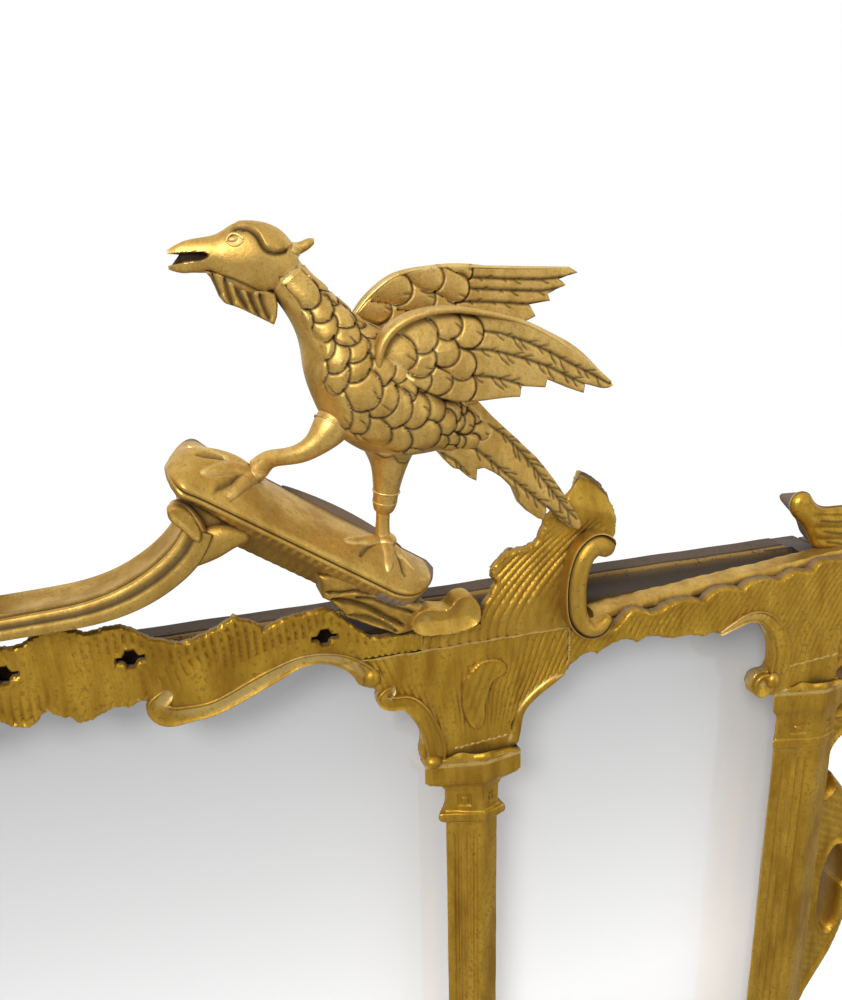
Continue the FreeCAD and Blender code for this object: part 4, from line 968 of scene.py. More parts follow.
def spandrelCut(x, z, gap):
    # flutes fan out upwards from the capital
    up = z - innerSpandrel["foot"]
    spread = np.clip(0.52 + 0.48 * (up / 94) ** 1.2, 0.5, 1.1)
    phase = (x - innerSpandrel["middle"]) / (innerSpandrel["pitch"] * spread) + 0.3 * ripple(x, z, 0.9)
    strength = np.clip(0.85 + 0.35 * ripple(x * 0.7, z * 0.7, 2.4),
                       0.55, 1.1) * np.clip((up - 8) / 22, 0.1, 1)
    return innerSpandrel["depth"] * reeds(phase) * strength * np.clip((gap - 1) / 5, 0.25, 1) \
        + edgeRound(gap, flutes["edge"]) + 0.4 * ripple(x, z, 4.4)


bossOutline = ((450, 981), (457, 975), (456, 968), (448, 964), (443, 955), (440, 943), (440, 934), (436, 926),
               (432, 925), (425, 933), (421, 946), (421, 959), (426, 972), (436, 981))


def closedCurve(knots, count):
    ring = list(knots)
    wrapped = np.array(ring[-3:] + ring + ring[:4], float)
    fine = spline(wrapped, count * 2)
    middle = len(fine) // 2
    start = np.argmin(np.linalg.norm(fine[:middle] - wrapped[3], axis=1))
    end = middle + np.argmin(np.linalg.norm(fine[middle:] - wrapped[-4], axis=1))
    return fine[start:end]


def seamBead(start, end, front):
    # thin cracked line of gesso along a joint
    start, end = np.array(start), np.array(end)
    knots = []
    for share in np.linspace(0, 1, 40):
        x, z = start + (end - start) * share
        knots.append((x, front + 0.35, z + 0.35 * math.sin(share * 40), 0.75 + 0.3 * math.sin(share * 61)))
    return tube(knots, 110, 6)


def bossCut(x, z, gap):
    inner = np.clip(gap / 3.0, 0, 1)
    dish = 0.8 * np.clip((gap - 1.6) / 1.2, 0, 1)
    scratch = 0.5 * np.sin((x - 0.4 * z) * 0.9) * np.clip((gap - 3) / 2, 0, 1)
    return 3.4 * (1 - np.sqrt(1 - (1 - inner) ** 2)) + dish + scratch + 0.3 * ripple(x * 2, z * 2, 1.2)


def buildSpandrel():
    low, high = boxOf("right_inner_spandrel")
    front, seam = boxOf("centre_frieze")[0][1], high[2]
    board = reliefBoard(capLoops("right_inner_spandrel", 1), high[1], front, spandrelCut, 1.15, bevel=13.0,
                        chip=0.3, stretch=1.4,
                        joint=lambda x, z: z > seam - 0.6 or x > high[0] - 0.6 or z < low[2] + 0.5)
    boss = reliefBoard([closedCurve(bossOutline, 60)], front + 6, front - 3.4, bossCut, 1.0, bareBack=False)
    parts = [board, boss, sweepBand(edgeScrolls["spandrelScroll"], 60, strapSection, front + 2),
             sweepBand(edgeScrolls["spandrelFar"], 50, roundSection(), front + 3),
             knob((398, front - 1, 905), (7.0, 6.5, 5.5)),
             seamBead((low[0] + 12, seam), (high[0] - 1, seam), front), seamBead((416, 911), (459, 914), front)]
    finishPair("InnerSpandrel", parts, "inner_spandrel", angle=42)


def outerCut(x, z, gap):
    phase = (x - 0.30 * (z - 985) - 0.0035 * (z - 940) ** 2) / 5.8 + 0.25 * ripple(x, z, 5.2)
    strength = np.clip(0.75 + 0.4 * ripple(x * 0.6, z * 0.6, 0.3), 0.2, 1.1) * np.clip((z - 915) / 25, 0.1, 1)
    return 1.25 * reeds(phase) * strength * np.clip((gap - 1) / 5, 0.25, 1) + edgeRound(gap, 1.8) \
        + 0.4 * ripple(x, z, 2.2)


def discCut(x, z, gap):
    return edgeRound(gap, 1.6) + 3.6 * np.clip((gap - 1.2) / 7, 0, 1)


def buildOuterBoards():
    low, high = boxOf("right_frieze")
    back, front = high[1] - 14, low[1]
    foot = boxOf("right_outer_spandrel")[0][2]
    board = reliefBoard(capLoops("right_frieze", -1), back, front, outerCut, 1.1, chip=0.5, stretch=1.4,
                        joint=lambda x, z: x < low[0] + 0.6 or x > 678)
    seam = seamBead((low[0] + 0.2, 968), (low[0] + 0.2, 994), front)
    finishPair("Frieze", [board, seam], "frieze", angle=42)
    board = reliefBoard(capLoops("right_outer_spandrel", -1),
                        back, front, outerCut, 1.1, chip=0.3, stretch=1.4,
                        joint=lambda x, z: (x < 692 and z > 955) or z < foot + 0.5)
    # cupped disc at the foot of the scroll
    turns = fullTurn(48)
    rim = np.column_stack([690 + 10.5 * np.cos(turns), 914 + 11 * np.sin(turns)])
    disc = reliefBoard([rim], front + 8, front - 4.5, discCut, 0.9, bareBack=False)
    parts = [board, sweepBand(edgeScrolls["archScroll"], 70, strapSection, front + 2), disc,
             knob((699, front - 2, 917), (6.5, 5.5, 7.5)), seamBead((702, 925), (766, 929), front)]
    finishPair("OuterSpandrel", parts, "outer_spandrel", angle=42)


# section: depth, height; dark belongs to the same corners
topMoulding = {"climb": 19.0,
               "section": ((0, 0), (-10, 0), (-13.2, 1.2), (-14, 3), (-14, 4.4), (-13.0, 5.4), (-13.0, 6.6),
                           (-14, 7.6), (-14, 13.4), (-12.8, 15.4), (-8, 16), (0, 16)),
               "dark": (0.5, 0.5, 0.3, 0, 0, 0.9, 0.9, 0, 0, 0, 0, 0)}


def buildTopMoulding():
    low, high = boxOf("right_top_moulding")
    rings = []
    for x in np.linspace(low[0] - 9, high[0], 150):
        share = (x - low[0]) / (high[0] - low[0])
        foot = low[2] + topMoulding["climb"] * share
        wear = 0.5 * math.sin(x / 9) * math.sin(x / 23) + 0.25 * math.sin(x / 2.3)
        rings.append([(x, high[1] + y + (0.3 * wear if y < -13 else 0), foot + z + (wear if z > 12 else 0))
                      for y, z in topMoulding["section"]])
    part = loftRings(rings)
    part[2][:, 1] = np.tile(topMoulding["dark"], len(rings))
    finishPair("TopMoulding", [part], "top_moulding", angle=45, pale=0.5)


buildFrieze()
buildSpandrel()
buildOuterBoards()
buildTopMoulding()
print("carved boards done")


# flame crest over the inner pilaster and its C-scroll

def flameCut(x, z, gap):
    root = np.clip((z - 996) / 119, 0, 1)
    sweep = x - 428 - 130 * np.minimum(root, 0.7) ** 1.7
    phase = sweep / (7.6 - 1.6 * root) + 0.10 * ripple(x, z, 3.3)
    calm = np.clip((root - 0.60) / 0.14, 0, 1)
    plain = np.clip((sweep - 34) / 16, 0, 1)
    strength = np.clip(0.95 + 0.25 * ripple(x, z, 1.4), 0.4, 1.1) * (1 - 0.9 * calm) * (1 - 0.85 * plain)
    roll = 10.0 * np.clip((z - 1090 + 0.35 * (x - 515)) / 22, 0, 1) ** 1.4
    hollow = 3.4 * np.exp(-((x - 531) / 10) ** 2 - ((z - 1072) / 8) ** 2)
    return 1.7 * reeds(phase) * strength * np.clip((gap - 1) / 4, 0.3, 1) + edgeRound(gap, 2.4) \
        + roll + hollow + 0.4 * ripple(x * 1.4, z * 1.4, 0.6)


# x, z, half width, rise
flameScroll = ((535.5, 1000.5, 5.0, 5.5), (531, 996.5, 6.2, 6.6), (523, 995, 6.6, 7), (515.5, 1000, 7.6, 7.6),
               (510, 1010, 8.2, 8), (508.5, 1022, 8.4, 8), (508.5, 1035, 8.4, 8), (511, 1048, 8.6, 8),
               (516.5, 1059, 8.8, 8), (526, 1063.5, 9.0, 7.5), (532, 1061, 8.5, 6.5))


def ledgedSection():
    # thin outer fillet, sunk line, then a broad full round towards the opening
    fillet = [(1.0, -0.9), (1.0, 0.42), (0.97, 0.56), (0.91, 0.58), (0.86, 0.4), (0.80, 0.16), (0.76, 0.08)]
    full = [(0.87 * math.cos(t) - 0.13, 0.16 + 0.84 * math.sin(t)) for t in np.linspace(0.12, math.pi, 14)]
    return fillet + full + [(-0.98, -0.9)]


def buildFlame():
    low, high = boxOf("right_flame_crest")
    flame = reliefBoard(capLoops("right_flame_crest", 1), high[1], low[1], flameCut, 1.2, bevel=11.0,
                        chip=0.7,
                        stretch=1.2, joint=lambda x, z: z < low[2] + 0.6 or x < low[0] + 0.6)
    finishPair("FlameCrest", [flame], "flame_crest", angle=42, pale=0.1)
    front = boxOf("right_flame_scroll")[1][1]
    band = sweepBand(flameScroll, 90, ledgedSection(), front - 7)
    finishPair("FlameScroll", [band], "flame_scroll", angle=42, pale=0.2)


buildFlame()
print("flame done")


# sloping perch: cushion-like top, ridged rim, fluted hollow below, bare back

perch = {"centre": (304.5, 1087.5), "tilt": 33.5, "leftEnd": 96.0, "rightEnd": 109.0, "back": -30.0,
         "front": -88.0, "crown": 26.0, "rim": 8.5, "under": 20.0, "flutePitch": 6.4, "topPoints": 40,
         "mounds": ((-60, -64, 10.0), (62, -66, 6.5)),
         "slits": (((-56, -60), (-70, -64), (-84, -66)), ((-50, -66), (-58, -76), (-66, -83)),
                   ((52, -63), (46, -71), (41, -79)), ((67, -63), (73, -71), (77, -78)))}


def perchPoint(along, normal, y):
    tilt = math.radians(perch["tilt"])
    return (perch["centre"][0] + along * math.cos(tilt) + normal * math.sin(tilt), y,
            perch["centre"][1] - along * math.sin(tilt) + normal * math.cos(tilt))


def perchTop(y):
    share = np.clip((perch["back"] - 10 - y) / (perch["back"] - 10 - perch["front"]), 0, 1)
    return perch["crown"] - (perch["crown"] - perch["rim"]) * share ** 2


def footMound(along, y):
    # the carved swelling the toes run out of, one for each foot
    swell = 0.0
    for place, depth, high in perch["mounds"]:
        swell += high * math.exp(-((along - place) / 24) ** 2 - ((y - depth) / 17) ** 2)
    return swell


def perchRing(along):
    # depth and height round the perch at one place along it, with the bare and slit shares of each point
    back, rightEnd = perch["back"], perch["rightEnd"] - along
    deep = np.interp(along, [-perch["leftEnd"], -80, -34, perch["rightEnd"]], [2.0, 2.5] + 2 * [perch["under"]])
    # the right end is rounded in plan, the left one swells into a knob
    curve = np.clip(1 - rightEnd / 38, 0, 0.985)
    front = perch["front"] + 44 * (1 - math.sqrt(1 - curve ** 2))
    span = back - front
    across = np.linspace(back, front + 5, perch["topPoints"])
    slit = incised(np.full(perch["topPoints"], along), across, perch["slits"], 1.9)
    ring = [(y, perchTop(y) + footMound(along, y) - 2.4 * deepen) for y, deepen in zip(across, slit)]
    edge = perchTop(front + 5) - 1.6
    rim = ((2.5, 0), (0.6, 1.6), (0, 3.4), (0.7, 4.8), (2.2, 5.3), (0.6, 6.2), (0.2, 7.4), (1.0, 8.6),
           (3.0, 9.2))
    ring += [(front + y, edge - fall) for y, fall in rim]
    for share, fall in ((0.12, 0.12), (0.24, 0.3), (0.34, 0.5), (0.42, 0.72), (0.5, 0.95)):
        lean = 1.5 * abs(math.sin(math.pi * (along - 14 * share) / perch["flutePitch"]))
        ring.append((front + span * share - lean, min(edge - 10, -deep * fall)))
    ring += [(front + span * 0.6, -deep), (front + span * 0.8, -deep), (back, -deep)]
    ring += [(back, level) for level in np.linspace(-deep, perch["crown"], 7)[1:-1]]
    middle = np.array([(back + front) / 2 - 4, 10.0])
    left = along + perch["leftEnd"]
    scale = math.sqrt(max(0.05, 1 - (1 - left / 16) ** 2)) if left < 16 else 1.0
    ring = middle + (np.array(ring) - middle) * scale * (1 + 0.10 * math.exp(-((along + 86) / 9) ** 2))
    bare = np.clip((ring[:, 0] - back + 8) / 2.0, 0, 1)
    if rightEnd < 45:
        bare = np.maximum(bare, np.clip((edge - 9 - ring[:, 1]) / 1.0, 0, 1))
    if rightEnd < 7:
        bare[:] = 1
    return ring, bare, np.concatenate([slit, np.zeros(len(ring) - len(slit))])


def buildPerch():
    back, left, right = perch["back"], -perch["leftEnd"], perch["rightEnd"]
    rings, bares, slits = [], [], []
    for along in np.concatenate([np.linspace(left, left + 22, 20), np.linspace(left + 23, right - 40, 110),
                                 np.linspace(right - 39, right, 44)]):
        ring, bare, slit = perchRing(along)
        rings.append([perchPoint(along, n, y) for y, n in ring])
        bares.append(bare)
        slits.append(slit)
    part = loftRings(rings)
    part[2][:, 0] = np.concatenate(bares)
    part[2][:, 1] = 0.75 * np.concatenate(slits)
    # bare board showing behind the top
    slips = []
    for along in np.linspace(-16, 84, 40):
        top = perch["crown"] + 1 + 4.5 * math.sin(math.pi * (along + 16) / 100) ** 0.8
        section = ((0.5, 6), (0.5, top - 0.5), (-0.5, top), (-4, top), (-5, top - 1), (-5, 6))
        slips.append([perchPoint(along, n, back + y) for y, n in section])
    slip = loftRings(slips, bare=1.0, dark=0.15)
    finishPair("Perch", [part, slip], "perch", angle=34, pale=0.6)


buildPerch()


# swan-neck scroll: a hollow-topped band with a ridge along its front and a disc at its upper end

swanNeck = {"volute": ((227.2, 1126.8), (233.5, 1127.9), (238.9, 1124.2), (243.3, 1116.2), (245.3, 1108.4),
                       (243.3, 1103.6), (240, 1105.3), (235.4, 1110.9), (230.2, 1116.5), (226.7, 1121.9)),
            "knots": ((30, 1060.5, 7.2, 1), (60, 1060.8, 7.2, 1), (90, 1061, 7.2, 1), (120, 1061.5, 7.4, 1),
                      (146, 1062.5, 7.6, 1), (170, 1064, 8.2, 1), (192, 1068.5, 9.2, 1), (210, 1076, 10, 1),
                      (226, 1086.5, 10.5, 1), (238, 1099, 10.5, 1), (244, 1110, 9.5, 1)),
            "section": ((-40, 0.9), (-43, 1.0), (-47, 0.88), (-54, 0.7), (-62, 0.66), (-69, 0.76), (-72, 0.9),
                        (-73.5, 0.86), (-74.6, 0.5), (-75.8, 0.42), (-77, 0.66), (-79, 0.82), (-81.5, 0.74),
                        (-83, 0.4), (-83.2, 0.1), (-84.2, -0.1), (-85, -0.4), (-84.6, -0.85), (-82, -1),
                        (-60, -1), (-42, -1), (-40, -0.9)),
            "filler": ((234, 1126), (242, 1128.8), (251, 1121), (262, 1112), (265, 1097), (260, 1090.2),
                       (249.2, 1084.5), (242.2, 1086.8), (240, 1099), (239, 1105.5), (237, 1115.6)),
            "dark": (0, 0, 0.2, 0.1, 0, 0, 0, 0.3, 0.9, 0.9, 0.2, 0, 0, 0.7, 0.9, 0.3, 0.2, 0.3, 0.5, 0.6,
                     0.6, 0.3),
            "tongue": ((236, 1092, 9, 6), (250, 1098, 11, 6), (262, 1101, 9, 6), (270, 1101, 6, 5))}


def leafCut(x, z, gap):
    return edgeRound(gap, 1.5) + 1.4 * np.clip((gap - 1.6) / 3, 0, 1)


def fillerCut(x, z, gap):
    return edgeRound(gap, 5.0) + 1.2 * ripple(x * 2, z * 2, 0.7)


def buildSwanNeck():
    rows = spline(swanNeck["knots"], 120)
    rings = []
    for (x, z, half, _), along in zip(rows, headings(rows[:, :2])):
        side = leftOf(along)
        rings.append([(x + side[0] * rise * half, y, z + side[1] * rise * half)
                      for y, rise in swanNeck["section"]])
    band = loftRings(rings)
    band[2][:, 0] = np.clip((band[0][:, 1] + 43) / 2, 0, 1)
    band[2][:, 1] = np.tile(swanNeck["dark"], len(rings))
    # leaf-shaped volute with a second lobe behind it, and a tongue under the perch
    leaf = closedCurve(swanNeck["volute"], 70)
    lobe = (leaf - leaf.mean(0)) * 1.12 + leaf.mean(0) + np.array([3.0, -1.5])
    filler = reliefBoard([closedCurve(swanNeck["filler"], 60)], -46, -75, fillerCut, 1.4, bareBack=False)
    filler[2][:, 1] = 0.25
    parts = [band, reliefBoard([leaf], -78, -88, leafCut, 1.0, bareBack=False),
             reliefBoard([lobe], -70, -83, lambda x, z, gap: edgeRound(gap, 4.0), 1.3, bareBack=False),
             sweepBand(swanNeck["tongue"], 30, roundSection(12), -76), filler]
    finishPair("SwanNeckScroll", parts, "swan_neck_scroll", angle=38, pale=0.5)


bracket = {"back": -46.0,
           "outline": ((319, 1066), (320.7, 1059.5), (322.5, 1046.6), (328.6, 1042.6), (338.8, 1031),
                       (349.4, 1024.9), (363, 1018.3), (374, 1012.5), (386, 1012), (398.2, 1013.5),
                       (399.9, 1027), (387.3, 1035), (368.1, 1047), (348.2, 1059.7), (330, 1067)),
           "folds": (((325.1, 1051.8), (334.4, 1050.4), (345.1, 1051.7), (355.8, 1048.6)),
                     ((328.8, 1045.6), (342, 1042.2), (354, 1036.1), (366.1, 1026.9), (378.4, 1019)),
                     ((344.9, 1046), (358.3, 1042.6), (371.9, 1034.7), (385.7, 1028.2)),
                     ((338.9, 1032.7), (351, 1029.3), (363.2, 1023), (372.7, 1015.6))),
           "dish": ((382, 1022), (387, 1030), (399.3, 1031.2), (410.9, 1030.6), (415.1, 1035.5),
                    (420, 1037.6), (426.5, 1036.9), (432.4, 1030.4), (434.6, 1022.1), (433, 1015.6),
                    (423.7, 1010.8), (413.2, 1009.7), (398.9, 1010.3), (386, 1014))}


def bracketCut(x, z, gap):
    # folds run down to the right and fan out towards the dish
    folds = incised(x, z, bracket["folds"], 1.9)
    swell = 2.2 * np.sin((x - 320) * 0.11 + (z - 1014) * 0.21)
    return 3.2 * folds + swell + edgeRound(gap, 4.5) + 1.1 * ripple(x * 1.9, z * 1.9, 2.8) + 3


def dishCut(x, z, gap):
    return edgeRound(gap, 1.3) + 4.6 * np.clip((gap - 0.9) / 9, 0, 1) ** 0.8 \
        + 0.3 * ripple(x * 1.6, z * 1.6, 1.1)


def buildBracket():
    front = boxOf("right_perch_bracket")[0][1]
    fold = reliefBoard([np.array(bracket["outline"])], bracket["back"], front + 1, bracketCut, 1.1)
    points, faces, finish = fold
    cuts = 0.7 * incised(points[:, 0], points[:, 2], bracket["folds"], 1.6)
    finish[:, 1] = np.maximum(finish[:, 1], cuts) * (finish[:, 0] < 0.5) + 0.12
    # shell-like dish curling up at the lower end
    dish = reliefBoard([closedCurve(bracket["dish"], 70)], front + 14, front - 2, dishCut, 0.9,
                       bareBack=False)
    finishPair("PerchBracket", [fold, dish], "perch_bracket", angle=44, pale=0.3)


buildSwanNeck()
buildBracket()
print("perch, scroll and bracket done")


# the bird

bird = {"line": -70.0,
        "spine": ((304, 1270, 13, 11), (311, 1260, 12.6, 12), (319, 1249, 13.6, 13.5), (330, 1234, 17, 17.5),
                  (341, 1215, 26, 25), (356, 1195, 36, 30.5), (383, 1174, 34, 30.5), (410, 1163, 21, 22),
                  (432, 1152, 14, 13), (446, 1142, 9, 7)),
        "rowStart": 24.0, "rowEnd": 176.0, "scale": 0.36}


def bodyTable():
    rows = spline(bird["spine"], 240)
    steps = np.concatenate([[0], np.cumsum(np.linalg.norm(np.diff(rows[:, :2], axis=0), axis=1))])
    return steps, rows, headings(rows[:, :2])


bodySteps, bodyRows, bodyAhead = bodyTable()


def bodyPoint(s, turn, height):
    x, z, tall, wide = (np.interp(s, bodySteps, bodyRows[:, k]) for k in range(4))
    ax, az = (np.interp(s, bodySteps, bodyAhead[:, k]) for k in range(2))
    lift = (tall + height) * np.cos(turn)
    return np.column_stack([x - az * lift, bird["line"] - (wide + height) * np.sin(turn), z + ax * lift])


def bodyGirth(s):
    tall, wide = (np.interp(s, bodySteps, bodyRows[:, k]) for k in (2, 3))
    return np.sqrt((tall ** 2 + wide ** 2) / 2)


def bodyParts():
    # one smooth body with rows of feathers cut into it, plainer along the breast
    count, around = 230, 200
    s = np.repeat(np.linspace(0, bodySteps[-1], count), around)
    turn = np.tile(fullTurn(around), count)
    girth = bodyGirth(s)
    height, dark = np.zeros(len(s)), np.zeros(len(s))
    rows, here = [], bird["rowStart"]
    while here < bird["rowEnd"]:
        size = np.clip(bird["scale"] * bodyGirth(here), 8.5, 11.5)
        rows.append((here, size))
        here += 1.12 * size
    for row, (here, size) in reversed(list(enumerate(rows))):
        number = max(5, int(round(2 * math.pi * bodyGirth(here) / (1.8 * size))))
        for k in range(number):
            centre = 2 * math.pi * (k + 0.5 * (row % 2) + 0.42 * (rng.random() - 0.5)) / number
            start = here + 0.75 * size * (rng.random() - 0.5)
            across = ((turn - centre + math.pi) % (2 * math.pi) - math.pi) * girth
            slit = rng.choice([-0.4, 0.35, 0.1]) if rng.random() < 0.6 else None
            paintScale(height, dark, s - start, across, size * (0.90 + 0.32 * rng.random()), 1.5 * size, slit)
    smooth = np.interp(s, (0, 50, 90), (0.5, 0.6, 0.9)) + 0.12 * np.sin(s / 5)
    plain = np.clip((np.cos(turn) + smooth) / 0.22, 0, 1) * np.clip((bodySteps[-1] - s) / 12, 0, 1)
    lumps = 0.35 * np.sin(s / 7 + 2 * np.sin(3 * turn)) * np.sin(4 * turn + s / 11)
    points = bodyPoint(s, turn, height * plain + lumps)
    part = loftRings(points.reshape(count, around, 3))
    part[2][:len(dark), 1] = np.minimum(1.1 * dark, 1) * plain
    return [part]


head = {"skull": ((318, 1268, 8, 8), (311, 1270, 15, 12.5), (302, 1271, 19.5, 15), (292, 1271.5, 21, 15.8),
                  (284, 1272, 20.2, 14.6), (276, 1273.3, 16.0, 12.4), (270, 1274.6, 11.9, 10.3),
                  (265, 1275.1, 10.4, 9.0), (260, 1274.9, 9.9, 7.6), (256, 1274.7, 9.5, 6.6),
                  (251, 1274, 8.9, 5.4), (246, 1273.3, 7.2, 3.6), (242.3, 1272.9, 5.4, 1.2)),
        "hoodLine": ((277, 1287), (283, 1291), (291, 1289), (295, 1284), (298, 1278), (304, 1276),
                     (309, 1277)),
        "crest": ((304, 1280.5, 8.5, 10), (312, 1277.6, 5.4, 7.5), (317, 1276.8, 4.2, 5.6),
                  (322, 1278.2, 3.6, 4.8), (326.5, 1280.2, 3.0, 4.0), (329, 1281.2, 1.8, 2.4)),
        "lids": (((275.8, 1282.6, 0.5), (278, 1285.9, 1.0), (281.5, 1286.6, 1.1), (285.5, 1283.6, 0.6)),
                 ((275.8, 1282.4, 0.4), (278.5, 1280.5, 0.7), (282, 1280.6, 0.7), (285.5, 1283.0, 0.5))),
        "cheek": (((304.9, 1261.4), (306.4, 1260), (309.7, 1259.4), (313.1, 1260.2), (315.4, 1262.4)),
                  ((297.9, 1253.4), (302.1, 1252.9), (306, 1253.7), (308.5, 1255.7), (309.2, 1258)),
                  ((268, 1263.8), (278, 1260.8), (285.2, 1257.3), (292.5, 1253.3), (297.9, 1251.8))),
        "wattleGrooves": (((266.5, 1264), (268.5, 1257), (270.5, 1251)), ((273.6, 1261.8), (274.8, 1254.4), (277.1, 1246)),
                          ((280.3, 1258.8), (281.2, 1252.3), (286.1, 1242)), ((287.1, 1255.3), (288.4, 1248.3), (292.6, 1238)),
                          ((293.5, 1251.8), (294.9, 1245.2), (298.5, 1236))),
        "wattle": ((263, 1266), (266, 1262), (268, 1257), (270, 1251), (273, 1247), (281, 1244),
                   (292, 1238), (301, 1233), (303, 1238), (304, 1245), (303, 1252), (294, 1256),
                   (281, 1260), (270, 1265))}


def crestPart():
    rings = []
    for x, z, tall, wide in spline(head["crest"], 40):
        rings.append([(x, bird["line"] - wide * math.sin(t), z + tall * math.cos(t)) for t in fullTurn(24)])
    return loftRings(rings)


def headCarving(x, z):
    # hood raised behind the brow line with a dark groove along it, and cut feather ends on the cheek
    line = spline(head["hoodLine"], 60)
    spots = np.column_stack([x, z])
    away = np.linalg.norm(spots[:, None, :] - line[None, :, :], axis=2)
    k = np.clip(np.argmin(away, axis=1), 0, len(line) - 2)
    run = line[k + 1] - line[k]
    side = (run[:, 0] * (z - line[k][:, 1]) - run[:, 1] * (x - line[k][:, 0])) / np.linalg.norm(run, axis=1)
    signed = np.copysign(away.min(axis=1), side)
    ends = np.clip((x - 277) / 5, 0, 1) * np.clip((314 - x) / 4, 0, 1)
    groove = ends * np.exp(-((signed + 0.9) / 1.3) ** 2)
    groove = np.maximum(groove, np.exp(-((x - 287) / 4.4) ** 2 - ((z - 1289.6) / 1.7) ** 2))
    raised = 1.7 * np.clip((signed + 0.2) / 1.3, 0, 1) * np.clip((x - 276) / 9, 0, 1)
    cheek = incised(x, z, head["cheek"], 0.95)
    return raised - 1.5 * groove - 0.9 * cheek, np.maximum(0.95 * groove, 0.85 * cheek)


def mouthShare(x, z):
    # gap between the two halves of the beak, rounded at its inner end
    low = np.interp(x, (242, 248, 262, 265.5), (1269.6, 1270.8, 1272.4, 1274.4))
    high = np.interp(x, (242, 250, 262, 265.5), (1276.4, 1277.2, 1277.4, 1275.6))
    return np.clip((z - low) / 0.7, 0, 1) * np.clip((high - z) / 0.7, 0, 1) * np.clip((265.5 - x) / 1.2, 0, 1)


def skullPart():
    rows = spline(head["skull"], 170)
    turn = fullTurn(110)
    x, z, tall, wide = (np.repeat(rows[:, k], len(turn)) for k in range(4))
    turn = np.tile(turn, len(rows))
    level = z + tall * np.cos(turn)
    step, dark = headCarving(x, level)
    mouth = mouthShare(x, level)
    points = np.column_stack([x + mouth * np.interp(x, (242, 251), (7, 0)),
                              bird["line"] - (wide + step) * np.sin(turn) * (1 - 0.6 * mouth),
                              z + (tall + step) * np.cos(turn)])
    part = loftRings(points.reshape(len(rows), -1, 3))
    part[2][:len(dark), 1] = np.maximum(dark, mouth)
    return part


def skullReach(x, z):
    rows = np.array(head["skull"][::-1])
    middle, tall, wide = (np.interp(x, rows[:, 0], rows[:, k]) for k in (1, 2, 3))
    return wide * math.sqrt(max(0.04, 1 - ((z - middle) / tall) ** 2))


def wattleField(x, z):
    groove = incised(x, z, head["wattleGrooves"], 1.7)
    return 0.3 * np.sin((x - 264) * 0.9 + 0.35 * (z - 1264)) - 2.4 * groove, 0.9 * groove ** 1.5


def headParts():
    line = bird["line"]
    parts = [skullPart(), crestPart(), knob((314.5, line, 1275.5), (6, 9, 5))]
    for side in (-1, 1):
        reach = skullReach(279.5, 1283.5)
        parts.append(knob((280.3, line + side * (reach - 0.6), 1283.2), (3.6, 2.0, 2.2), 18, 12))
        for lid in head["lids"]:
            knots = [(x, line + side * (skullReach(x, z) + 0.1), z, radius) for x, z, radius in lid]
            parts.append(tube(knots, 24, 10))
    return parts + carvedPair([np.array(head["wattle"], float)], line, 7.0, wattleField, 0.9)


tail = {"depth": -77.0, "thick": 4.5,
        "outline": ((431.7, 1177.2), (441.8, 1166.1), (453.8, 1154.6), (461.1, 1147.9), (466.8, 1142),
                    (475.1, 1134.2), (481.5, 1126.6), (487.9, 1118.1), (494.9, 1108.5), (502, 1097.3),
                    (508.3, 1088.4), (511.6, 1080.6), (509.6, 1076.7), (503.4, 1079.1), (494.6, 1085.9),
                    (484.2, 1096.9), (481.8, 1087.4), (477.6, 1088.8), (470, 1094.5), (463.2, 1101.7),
                    (458.2, 1113.4), (451.6, 1120.3), (444.3, 1125.7), (436.3, 1130.4), (431.3, 1129.7),
                    (430.8, 1121.5), (425.2, 1124.7), (419, 1130.6), (414.3, 1132.2), (409, 1137.7),
                    (403.7, 1144.2), (397.7, 1149.3), (399.5, 1163.8), (414.8, 1174.2)),
        "ribs": (((420.8, 1152), (437.1, 1138.4), (453.2, 1123.8), (469.7, 1109.5), (486.7, 1094),
                  (504.1, 1079.6)),
                 ((437.9, 1160.9), (450.6, 1152.3), (462.7, 1139.8), (474.3, 1125.5), (486.3, 1110),
                  (498.6, 1094.2), (507.4, 1085)),
                 ((404.5, 1144.6), (415.2, 1137.6), (426.1, 1125.8)))}


def tailField(x, z):
    middle, upper, lower = tail["ribs"]
    ribs = incised(x, z, tail["ribs"], 1.3)
    barbs = barbLines(upper, 7.5, 13, 32) + barbLines(middle, 11, 9, 30, 0.2) \
        + barbLines(upper, 8.5, 11, -32, 0.15) + barbLines(middle, 12, 14, -34, 0.12) \
        + barbLines(lower, 9, 8, -32)
    cuts = incised(x, z, barbs, 0.8)
    swell = 0.8 * np.exp(-(lineGap(x, z, middle)[0] / 7 - 0.6) ** 2)
    return swell - 1.3 * ribs - 0.9 * cuts, np.maximum(0.8 * ribs, 0.85 * cuts)


def buildBirdBody():
    tailParts = carvedPair([np.array(tail["outline"])], tail["depth"], tail["thick"], tailField, 0.95)
    finishPair("BirdBody", bodyParts() + headParts() + tailParts, "bird_body", angle=50, pale=0.85)


